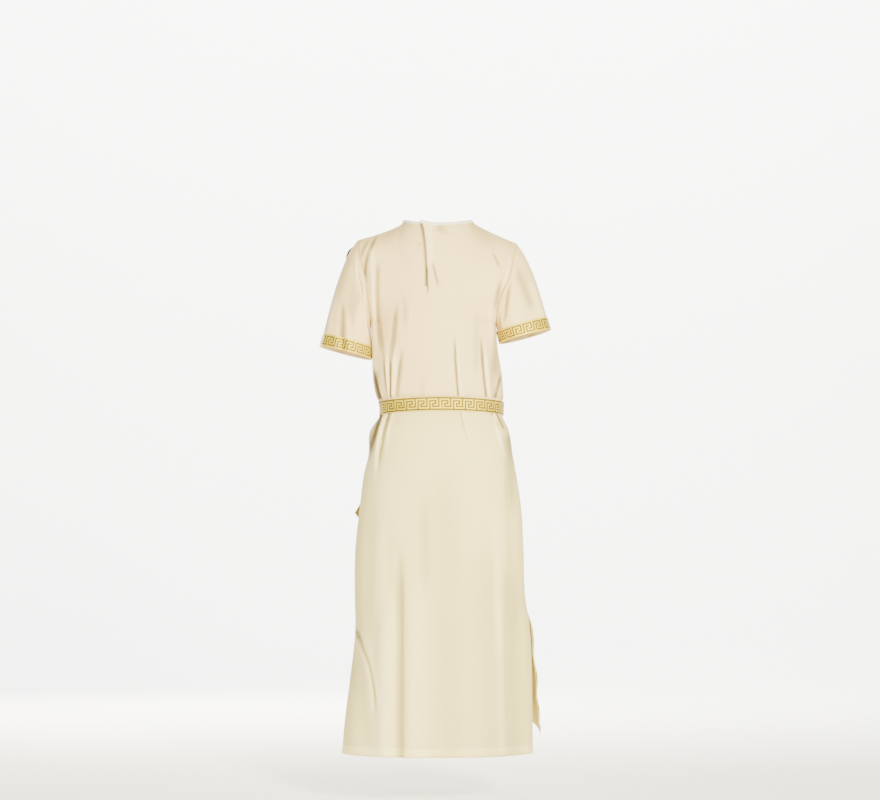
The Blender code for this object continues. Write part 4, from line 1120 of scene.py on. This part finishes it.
def sleeve_surface(side, turn, share, out=0.0):
    """Sleeve points with their folds, moved out by a distance; and their normals."""
    turn, share = np.broadcast_arrays(np.asarray(turn, float), np.asarray(share, float))
    middle = np.array([side * 0.150, 0.0, -0.16])
    bare = sleeve_points(side, turn, share)
    normals = grid_normals(bare, closed=True)
    offset = bare - middle
    offset[..., 2] = 0.0
    if np.sum(normals * offset) < 0:
        normals = -normals
    inner = smooth_step((abs(np.mod(np.degrees(turn), 360) - 180) - 18) / 30)
    push = sleeve_folds(side, turn, share)[0] * smooth_step(share / 0.06) * inner
    s = (1 - abs(np.mod(np.degrees(turn), 360) / 180 - 1))
    tuck = smooth_step(1 - share / 0.05) * smooth_step(s * 12) * smooth_step((1 - s) * 6)
    points = bare + normals * push[..., None]
    points[..., 1] -= np.sign(bare[..., 1]) * (SEAM_TUCK + 0.0002) * tuck
    return points + normals * out, normals


def sleeve_grid():
    """Turns and shares of the columns and rows of a sleeve."""
    return (np.linspace(0.0, FULL_TURN, SLEEVE_COLUMNS)[None, :],
            np.linspace(0.0, 1.0, SLEEVE_ROWS)[:, None])


class COSTUME_OT_sleeves(bpy.types.Operator):
    """Make both sleeves"""
    bl_idname = "costume.sleeves"
    bl_label = "Sleeves"

    def execute(self, context):
        turn, share = sleeve_grid()
        for (side, name), area in zip(SIDES, (0.042, 0.034)):
            points, _ = sleeve_surface(side, turn, share)
            points[:, -1] = points[:, 0]
            tone = sleeve_folds(side, *np.broadcast_arrays(turn, share))[1]
            # The folds' painted tone, made 1.4 times stronger, less painted shade along the armhole
            # seam, deeper towards the underside, and painted shade down the sleeve's underside
            inner = abs(np.degrees(turn) - 180) / 40
            low = smooth_step((abs(np.degrees(turn) - 180) - 110) / -60)
            seam = (0.35 + 0.50 * low) * np.exp(-share / 0.025)
            tone = 1.4 * tone - seam - 0.35 * np.exp(-inner ** 2)
            bm, _ = cloth_grid(points, closed=True, tone=np.clip(tone, -1.0, 1.0))
            face_out(bm, away_from_sleeve(side))
            piece = cloth_piece("sleeve_cloth_" + name, "sleeve_" + name, bm)
        return {'FINISHED'}


# Key ribbon


def ribbon_lines():
    """Shares of the ribbon's width at its two fringes and at the lines of its chart."""
    cells = np.linspace(FRINGE, FRINGE + KEY_ROWS, KEY_ROWS * CELL_PARTS + 1)
    return np.concatenate([[0.0], cells / (KEY_ROWS + 2 * FRINGE), [1.0]])


def woven(points, chart, closed=False):
    """Ribbon through points that lie on the ribbon's lines, with whole repeats of a chart.

    Faces take the dark, light or fringe material from the chart.
    """
    bm, cells = cloth_grid(points, closed)
    looks = {'#': 0, '.': 1}
    row_count, column_count = points.shape[0] - 1, points.shape[1] - 1
    for face in bm.faces:
        spots = [cells[v] for v in face.verts if v in cells]
        row = min(spot[0] for spot in spots)
        across = [spot[1] for spot in spots]
        column = min(across)
        if closed and max(across) - column > 1:
            column = column_count - 1
        if row in (0, row_count - 1):
            face.material_index = 2
        else:
            line = chart[(row - 1) // CELL_PARTS]
            face.material_index = looks[line[column // CELL_PARTS % KEY_COLUMNS]]
        face.smooth = True
    return bm


def raise_light(bm):
    """Lift the light threads off the dark ones."""
    relief = bpy.context.scene.costume_sizes.key_relief
    bm.normal_update()
    light = [face for face in bm.faces if face.material_index == 1]
    made = bmesh.ops.extrude_face_region(bm, geom=light)["geom"]
    lifted = [item for item in made if isinstance(item, bmesh.types.BMVert)]
    bmesh.ops.delete(bm, geom=light, context='FACES')
    bm.normal_update()
    for vert in lifted:
        vert.co += vert.normal * relief


def ribbon_piece(name, node, points, chart, away, closed=True, wall=None):
    """Weave a ribbon through points and finish it as a piece."""
    bm = woven(points, chart, closed)
    face_out(bm, away)
    raise_light(bm)
    if wall is None:
        wall = bpy.context.scene.costume_sizes.ribbon_wall
    return make_piece(name, bm, ribbon_materials(), [node], wall)


def even_turns(make_points, count):
    """Turns that space a ring of points evenly along its length."""
    fine = np.linspace(0.0, FULL_TURN, 721)
    line = make_points(fine)
    steps = run_of(line)
    return np.interp(np.linspace(0.0, steps[-1], count + 1), steps, fine), steps[-1]


def columns_for(length, width):
    """Columns of the whole repeats of the key that best fit a length of ribbon."""
    repeat = width * KEY_COLUMNS / (KEY_ROWS + 2 * FRINGE)
    return max(1, round(length / repeat)) * KEY_COLUMNS * CELL_PARTS


def drape_under(points):
    """Room that the belt leaves for the drape below it."""
    span = 0.014
    start = tube(math.pi * 1.09, BELT_TOP)[0] + 0.012
    share = smooth_step((start + span - points[..., 0]) / span)
    side_end = smooth_step((0.010 - points[..., 1]) / 0.018)
    return 0.0025 * share * side_end


class COSTUME_OT_belt(bpy.types.Operator):
    """Make the ribbon belt"""
    bl_idname = "costume.belt"
    bl_label = "Belt"

    def execute(self, context):
        sizes = context.scene.costume_sizes
        middle = (BELT_TOP + BELT_BOTTOM) / 2
        _, girth = even_turns(lambda a: tube(a, middle, False), 10)
        count = columns_for(girth, sizes.ribbon_width)
        angles, _ = even_turns(lambda a: tube(a, middle, False), count)
        rows = middle + sizes.ribbon_width * (0.5 - ribbon_lines())
        points = tube(-angles[None, :], rows[:, None], False)
        points[..., 1] += np.sign(points[..., 1]) * SEAM_HALF_GAP
        normals = outward_normals(points, closed=True)
        out = LAY_GAP + sizes.ribbon_wall + drape_under(points)
        points = points + normals * out[..., None]
        points[:, -1] = points[:, 0]
        piece = ribbon_piece("belt_ribbon", "belt", points, KEY_REVERSE, away_from_axis)
        return {'FINISHED'}


class COSTUME_OT_sleeve_trims(bpy.types.Operator):
    """Make the ribbon round each cuff"""
    bl_idname = "costume.sleeve_trims"
    bl_label = "Sleeve trims"

    def execute(self, context):
        sizes = context.scene.costume_sizes
        for side, name in SIDES:
            def cuff_line(turn):
                return sleeve_points(side, turn, 1.0)
            _, girth = even_turns(cuff_line, 10)
            turn = -side * even_turns(cuff_line, columns_for(girth, CUFF_TRIM))[0]
            width = CUFF_TRIM * (1 - ribbon_lines())
            share = cuff_share(side, turn[None, :], width[:, None])
            points, _ = sleeve_surface(side, turn[None, :], share, LAY_GAP + sizes.ribbon_wall)
            points[:, -1] = points[:, 0]
            piece = ribbon_piece("cuff_ribbon_" + name, "sleeve_trim_" + name, points, KEY_CHART,
                                 away_from_sleeve(side))
        return {'FINISHED'}


# Neck binding


class COSTUME_OT_neck_binding(bpy.types.Operator):
    """Make the binding folded over the neck edge, open at the slit"""
    bl_idname = "costume.neck_binding"
    bl_label = "Neck binding"

    def execute(self, context):
        sizes = context.scene.costume_sizes
        edge, out, lift = self.neck_ring()
        along = unit(np.gradient(edge, axis=0))
        down = np.cross(out, along)
        down *= np.sign(np.sum(down * edge * np.array([1.0, 1.0, 0.0]), axis=1))[:, None]
        inside, over = -(sizes.cloth_wall + 0.0011), 0.0012
        section = [(0.0045, inside), (0.0030, inside), (0.0015, inside), (0.0, inside + 0.0002),
                   (-over * 0.8, inside * 0.6), (-over, -0.0002), (-over * 0.7, 0.0008),
                   (0.0002, 0.0015), (0.0012, 0.0018)]
        section += [(blend(0.0012, sizes.binding, share), 0.0018 - 0.0006 * share ** 3)
                    for share in (0.25, 0.5, 0.75, 0.92)]
        section += [(sizes.binding, 0.0009)]
        points = np.array([edge + down * d + out * (o + lift)[:, None] for d, o in
                           [(d, np.full(len(edge), o)) for d, o in section]])
        bm, _ = cloth_grid(points)
        face_out(bm, lambda centre: Vector((centre.x, centre.y, 0.04)))
        # The binding is the tunic's cream painted darker, at 0.80, as shade against the light on its
        # upturned top
        piece = make_piece("neck_binding_roll", bm,
                           [shared("binding_cloth", cream_cloth, 0.80)], ["neck_binding"],
                           0.0005)
        return {'FINISHED'}

    def neck_ring(self):
        """The neck edge from one side of the slit to the other, its normals and its lift."""
        edges, normals, lifts = [], [], []
        for face, start, stop, count in ((1, SLIT_COLUMN, -NECK_SHARE, 90),
                                         (-1, -NECK_SHARE, NECK_SHARE, 120),
                                         (1, NECK_SHARE, SLIT_COLUMN + 0.004, 50)):
            t = np.linspace(start, stop, count)[1 if face == -1 else 0:-1 if face == -1 else None]
            edges.append(panel(face, t, np.zeros_like(t)))
            corner = abs(abs(t) - NECK_SHARE) < 0.07
            near = np.where(corner, np.sign(t) * (NECK_SHARE + 0.03), t)
            across = panel(face, near + 0.01, -0.004) - panel(face, near - 0.01, -0.004)
            down = panel(face, near, -0.007) - panel(face, near, -0.001)
            normal = np.cross(across, down)
            normals.append(normal * np.sign(normal[:, 2:]))
            lifted = face == 1 and start > 0 > stop
            lifts.append(flap_lift(1.0, t) if lifted else np.zeros_like(t))
        edge, normal = np.concatenate(edges), np.concatenate(normals)
        normal = unit(normal)
        reach = 8
        kernel = np.hanning(2 * reach + 1)
        kernel /= kernel.sum()
        for axis in range(3):
            padded = np.pad(normal[:, axis], reach, mode='edge')
            normal[:, axis] = np.convolve(padded, kernel, mode='valid')
        return edge, unit(normal), np.concatenate(lifts)


# The drape, the belt ends and the brooch


def front_outside(t, h, out):
    """Points at a distance outside the front; past the side seam they go on round the back."""
    t, h, out = np.broadcast_arrays(*(np.asarray(v, float) for v in (t, h, out)))

    def surface(share, height):
        high = panel(-1, np.clip(share, -1, 1), height)
        low = tube(math.pi - share * math.pi / 2, height)
        return np.where((height > ARMPIT)[..., None], high, low)
    step_t, step_h = 0.004, 0.0015
    along = surface(np.minimum(t + step_t, 0.99), h) - surface(t - step_t, h)
    down = surface(t, h - step_h) - surface(t, np.minimum(h + step_h, 0.0))
    normal = np.cross(along, down)
    normal = unit(normal)
    point = surface(t, h)
    facing = normal[..., 0] * point[..., 0] + normal[..., 1] * point[..., 1]
    normal = normal * np.where(facing < 0, -1.0, 1.0)[..., None]
    return point + normal * out[..., None]


def drape_surface(b, h):
    """Points of the drape: b runs from its inner to its outer edge, h down its length."""
    b, h = np.broadcast_arrays(np.asarray(b, float), np.asarray(h, float))
    low = blend(DRAPE_END_INNER, DRAPE_END_OUTER, b)
    z = np.where(h < BELT_BOTTOM,
                 BELT_BOTTOM + (h - BELT_BOTTOM) * (low - BELT_BOTTOM) / (HEM - BELT_BOTTOM), h)
    t = blend(DRAPE_INNER(z), DRAPE_OUTER(z), b)
    free = 1 - belt_share(z, 0.010)
    hang = 0.004 * smooth_step((BELT_BOTTOM - h) / (BELT_BOTTOM - HEM)) * (1 - abs(2 * b - 1))
    calm = 1 - smooth_step((b - 0.60) / 0.30)
    wander = 0.06 * np.sin(9 * h + 4 * b) + 0.03 * np.sin(23 * h)
    wave = (1 - np.cos(2 * math.pi * DRAPE_PLEATS * (b + wander * 0.3))) / 2
    pleat = DRAPE_PLEAT * wave ** 0.8 * np.where(h < BELT_BOTTOM, calm, 1.0)
    pleat = pleat * (0.15 + 0.85 * smooth_step((-0.004 - h) / 0.035))
    edge = DRAPE_WAVE(z) * smooth_step((b - 0.72) / 0.28)
    out = DRAPE_GAP + DRAPE_WALL + (pleat + edge + hang * calm) * free
    return front_outside(t, z, out)


class COSTUME_OT_drape(bpy.types.Operator):
    """Make the front drape and its ribbon edge"""
    bl_idname = "costume.drape"
    bl_label = "Drape"

    def execute(self, context):
        rows = np.concatenate([[DRAPE_TOP], heights()[heights() < -0.012]])
        b = np.linspace(0.0, 1.0, DRAPE_COLUMNS)
        bare = sum(np.exp(-((rows - z) / half) ** 4) for z, half in DRAPE_GOLD)
        points = drape_surface(b[None, :] * (1 - DRAPE_CUT * bare[:, None]), rows[:, None])
        bm, _ = cloth_grid(points)
        face_out(bm, away_from_axis)
        piece = cloth_piece("drape_cloth", "drape", bm)
        self.make_edge(context, points)
        return {'FINISHED'}

    def make_edge(self, context, cloth):
        """The ribbon along the outer edge."""
        sizes = context.scene.costume_sizes
        rows = np.linspace(BELT_BOTTOM, HEM, 600)
        edge = drape_surface(1.0, rows)
        keep = (edge[:, 2] < DRAPE_TRIM_TOP) & (edge[:, 2] > DRAPE_TRIM_END)
        rows, edge = rows[keep], edge[keep]
        steps = run_of(edge)
        count = columns_for(steps[-1], sizes.ribbon_width)
        h = np.interp(np.linspace(0.0, steps[-1], count + 1), steps, rows)
        points = np.array([drape_surface(0.990 - 0.165 * share, h) for share in ribbon_lines()])
        normals = outward_normals(points)
        points = points + normals * (LAY_GAP + sizes.ribbon_wall)
        piece = ribbon_piece("drape_ribbon", "drape_trim", points, KEY_CHART, away_from_axis,
                             closed=False)


class COSTUME_OT_belt_ends(bpy.types.Operator):
    """Make the knot of the belt and its two hanging ends"""
    bl_idname = "costume.belt_ends"
    bl_label = "Belt ends"

    def execute(self, context):
        for name, stations, length in (("long", TAIL_LONG, 0.19), ("short", TAIL_SHORT, 0.18)):
            piece = ribbon_piece("belt_end_" + name, "belt_tail_" + name,
                                 self.tail_points(stations), KEY_REVERSE, away_from_axis,
                                 closed=False)
        self.make_knot()
        return {'FINISHED'}

    def tail_points(self, stations):
        """Points of one hanging end; its chart runs down its length."""
        sizes = bpy.context.scene.costume_sizes
        top, low = stations[0].z, stations[-1].z
        reads = [curve(stations, "z", column) for column in ("angle", "turn", "out")]
        count = columns_for((top - low) * 1.06, sizes.ribbon_width)
        height = np.linspace(top, low, count + 1)
        middle, turn = np.radians(reads[0](height)), np.radians(reads[1](height))
        out = reads[2](height) + 0.0010
        rows = []
        for across in ribbon_lines() - 0.5:
            shift = across * sizes.ribbon_width
            angle = middle - shift * np.cos(turn) / TAIL_RADIUS
            z = height + shift * np.sin(turn)
            rows.append(front_outside(2 - 2 * angle / math.pi, z, out))
        return np.array(rows)

    def make_knot(self):
        """A band of ribbon that wraps once over the belt and its ends."""
        share = 2 - 2 * math.radians(KNOT_ANGLE) / math.pi
        middle = (BELT_TOP + BELT_BOTTOM) / 2
        place = front_outside(share, middle, KNOT_OUT)
        facing = place - front_outside(share, middle, 0.0)
        facing[2] = 0.0
        facing = unit(facing)
        level = np.array([-facing[1], facing[0], 0.0])
        up = np.array([0.0, 0.0, 1.0])
        turns = np.linspace(0.0, FULL_TURN, 3 * KEY_COLUMNS * CELL_PARTS + 1)
        rows = []
        for across in ribbon_lines() - 0.5:
            width = KNOT_WIDTH * across
            pinch = 1 - 0.25 * (1 - (2 * across) ** 2)
            tuck = 1 - 0.35 * (2 * abs(across)) ** 3
            rows.append(place + level * width
                        + np.outer(np.cos(turns), up) * KNOT_HALF_HEIGHT * tuck
                        + np.outer(np.sin(turns), facing) * KNOT_HALF_DEPTH * pinch * tuck
                        + np.outer(np.sin(turns * 2), level) * KNOT_TWIST)
        points = np.array(rows)
        points[:, -1] = points[:, 0]
        piece = ribbon_piece("belt_knot_ribbon", "belt_knot", points, KEY_REVERSE,
                             lambda centre: centre - Vector(place), wall=KNOT_WALL)


class COSTUME_OT_brooch(bpy.types.Operator):
    """Make the round brooch on the left shoulder"""
    bl_idname = "costume.brooch"
    bl_label = "Brooch"

    def execute(self, context):
        low, high = (Vector(corner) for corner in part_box("brooch"))
        centre = (low + high) / 2
        points, normals = sleeve_surface(1, *sleeve_grid())
        nearest = np.unravel_index(np.argmin(np.linalg.norm(points - np.array(centre), axis=2)),
                                   points.shape[:2])
        normal = Vector(normals[nearest])
        bm = bmesh.new()
        verts = [bm.verts.new((radius, 0.0, (level - 0.5) * BROOCH_THICK))
                 for radius, level in BROOCH_FACE]
        edges = [bm.edges.new(pair) for pair in zip(verts, verts[1:])]
        bmesh.ops.spin(bm, geom=verts + edges, cent=(0, 0, 0), axis=(0, 0, 1), steps=64,
                       angle=FULL_TURN, use_merge=True)
        bmesh.ops.remove_doubles(bm, verts=bm.verts[:], dist=1e-6)
        for angle in np.arange(BROOCH_BEADS) * FULL_TURN / BROOCH_BEADS:
            spot = Matrix.Translation((BEAD_RING * math.cos(angle), BEAD_RING * math.sin(angle),
                                       BROOCH_THICK * 0.12))
            bmesh.ops.create_uvsphere(bm, u_segments=10, v_segments=6, radius=BEAD_RADIUS,
                                      matrix=spot)
        bmesh.ops.recalc_face_normals(bm, faces=bm.faces[:])
        turned = normal.to_track_quat('Z', 'Y').to_matrix().to_4x4()
        bmesh.ops.transform(bm, matrix=Matrix.Translation(centre) @ turned, verts=bm.verts[:])
        make_piece("shoulder_brooch", bm, [shared("brooch_metal", brooch_metal)], ["brooch"])
        return {'FINISHED'}


# Sewing


def stitch_row(bm, line, normals, length):
    """Small rounded stitches along a line of points."""
    steps = run_of(line)

    def read(values, at):
        return Vector([np.interp(at, steps, values[:, a]) for a in range(3)])
    count = int(steps[-1] / length)
    for i in range(count):
        at = (i + 0.5) * length
        spot, out = read(line, at), read(normals, at).normalized()
        along = (read(line, at + length * 0.3) - read(line, at - length * 0.3)).normalized()
        side = along.cross(out).normalized()
        out = side.cross(along)
        basis = Matrix((along, side, out)).transposed().to_4x4()
        size = Matrix.Diagonal((length * 0.36, 0.00026, 0.00022, 1.0))
        bmesh.ops.create_icosphere(bm, subdivisions=1, radius=1.0,
                                   matrix=Matrix.Translation(spot) @ basis @ size)


class COSTUME_OT_sewing(bpy.types.Operator):
    """Sew the hem, the armholes and the ribbon edges at the cuffs"""
    bl_idname = "costume.sewing"
    bl_label = "Sewing"

    def execute(self, context):
        sizes = context.scene.costume_sizes
        bm = bmesh.new()
        for face in (1, -1):
            t = np.linspace(-0.995, 0.995, 260)
            rows = HEM + sizes.hem_turn + np.array([-0.001, 0.0, 0.001])
            grid = panel(face, t[None, :], rows[:, None])
            normals = outward_normals(grid)
            stitch_row(bm, grid[1] - normals[1] * 0.0003, normals[1], sizes.stitch)
        turn = np.linspace(0.0, FULL_TURN, 241)[None, :]
        for side, _ in SIDES:
            for share in (0.012, 0.028):
                shares = np.array([share - 0.004, share, share + 0.004])
                grid, normals = sleeve_surface(side, turn, shares[:, None])
                stitch_row(bm, grid[1][:118], normals[1][:118], sizes.stitch)
                stitch_row(bm, grid[1][123:], normals[1][123:], sizes.stitch)
        thread = shared("sewing_thread", sewing_thread, (0.72, 0.63, 0.44, 1.0),
                        (0.86, 0.78, 0.60, 1.0), 0.55)
        make_piece("cloth_stitches", bm, [thread], [])
        bm = bmesh.new()
        for side, _ in SIDES:
            for edge in (0.045, 0.955):
                width = CUFF_TRIM * (1 - edge) + np.array([0.0008, 0.0, -0.0008])
                share = cuff_share(side, turn, width[:, None])
                grid, normals = sleeve_surface(side, turn, share, LAY_GAP + sizes.ribbon_wall)
                stitch_row(bm, grid[1], normals[1], sizes.stitch)
        thread = shared("gold_sewing_thread", sewing_thread, (0.60, 0.48, 0.16, 1.0),
                        (0.78, 0.66, 0.28, 1.0), 0.50)
        make_piece("ribbon_stitches", bm, [thread], [])
        return {'FINISHED'}


# Stage


class COSTUME_OT_stage(bpy.types.Operator):
    """Set the floor, the lights and the camera"""
    bl_idname = "costume.stage"
    bl_label = "Stage"

    def execute(self, context):
        self.make_floor(context.scene)
        self.make_lights(context.scene)
        self.make_camera(context.scene)
        return {'FINISHED'}

    def aim(self, place, target):
        """Turn of a lamp or camera that looks from its place at a target."""
        return (Vector(target) - Vector(place)).to_track_quat('-Z', 'Y').to_euler()

    def make_floor(self, scene):
        width, near, far, bend = 14.0, 7.0, -3.2, 1.6
        line = [(near, FLOOR_HEIGHT), (far, FLOOR_HEIGHT)]
        line += [(far - bend * math.sin(a), FLOOR_HEIGHT + bend * (1 - math.cos(a)))
                 for a in np.linspace(0.0, math.pi / 2, 13)[1:]]
        line += [(far - bend, FLOOR_HEIGHT + 7.0)]
        bm = bmesh.new()
        verts = [bm.verts.new((-width / 2, y, z)) for y, z in line]
        edges = [bm.edges.new(pair) for pair in zip(verts, verts[1:])]
        made = bmesh.ops.extrude_edge_only(bm, edges=edges)["geom"]
        moved = [item for item in made if isinstance(item, bmesh.types.BMVert)]
        bmesh.ops.translate(bm, verts=moved, vec=(width, 0.0, 0.0))
        bmesh.ops.recalc_face_normals(bm, faces=bm.faces[:])
        mesh = bpy.data.meshes.new("backdrop")
        bm.to_mesh(mesh)
        bm.free()
        mesh.shade_smooth()
        material, _, shader, _ = new_material("backdrop_paper")
        shader.inputs["Base Color"].default_value = shade(scene.costume_colours.floor, 1.0)
        shader.inputs["Roughness"].default_value = 0.9
        mesh.materials.append(material)
        backdrop = bpy.data.objects.new("backdrop", mesh)
        scene.collection.objects.link(backdrop)

    def make_lights(self, scene):
        world = bpy.data.worlds.new("studio")
        world.use_nodes = True
        background = world.node_tree.nodes["Background"]
        background.inputs["Color"].default_value = (1.0, 0.95, 0.86, 1.0)
        background.inputs["Strength"].default_value = 0.25
        scene.world = world
        for name, place, target, size, power, colour in LIGHTS:
            light = bpy.data.lights.new(name, 'AREA')
            light.size = size
            light.energy = power
            light.color = colour
            lamp = bpy.data.objects.new(name, light)
            lamp.location = place
            lamp.rotation_euler = self.aim(place, target)
            scene.collection.objects.link(lamp)

    def make_camera(self, scene):
        camera = bpy.data.cameras.new("photo_camera")
        camera.sensor_width = 36.0
        camera.lens = CAMERA_LENS
        rig = bpy.data.objects.new("photo_camera", camera)
        rig.location = CAMERA_PLACE
        rig.rotation_euler = self.aim(CAMERA_PLACE, CAMERA_AIM)
        scene.collection.objects.link(rig)
        scene.camera = rig


class COSTUME_PT_panel(bpy.types.Panel):
    """The costume's pieces and sizes"""
    bl_idname = "COSTUME_PT_panel"
    bl_label = "Roman noble costume"
    bl_space_type = 'VIEW_3D'
    bl_region_type = 'UI'
    bl_category = "Costume"

    def draw(self, context):
        layout = self.layout
        for group in (context.scene.costume_sizes, context.scene.costume_colours):
            column = layout.column(align=True)
            for name in group.__annotations__:
                column.prop(group, name)
        column = layout.column(align=True)
        for operator in OPERATORS:
            column.operator(operator.bl_idname)


OPERATORS = (
    COSTUME_OT_stage,
    COSTUME_OT_neck_binding,
    COSTUME_OT_tunic_back,
    COSTUME_OT_tunic_front,
    COSTUME_OT_sleeves,
    COSTUME_OT_belt,
    COSTUME_OT_sleeve_trims,
    COSTUME_OT_drape,
    COSTUME_OT_belt_ends,
    COSTUME_OT_brooch,
    COSTUME_OT_sewing,
)
CLASSES = (CostumeSizes, CostumeColours) + OPERATORS + (COSTUME_PT_panel,)


def register():
    for cls in CLASSES:
        bpy.utils.register_class(cls)
    bpy.types.Scene.costume_sizes = bpy.props.PointerProperty(type=CostumeSizes)
    bpy.types.Scene.costume_colours = bpy.props.PointerProperty(type=CostumeColours)


def unregister():
    del bpy.types.Scene.costume_colours
    del bpy.types.Scene.costume_sizes
    for cls in reversed(CLASSES):
        bpy.utils.unregister_class(cls)


def main():
    register()
    for operator in OPERATORS:
        group, name = operator.bl_idname.split(".")
        getattr(getattr(bpy.ops, group), name)()


if __name__ == "__main__":
    main()
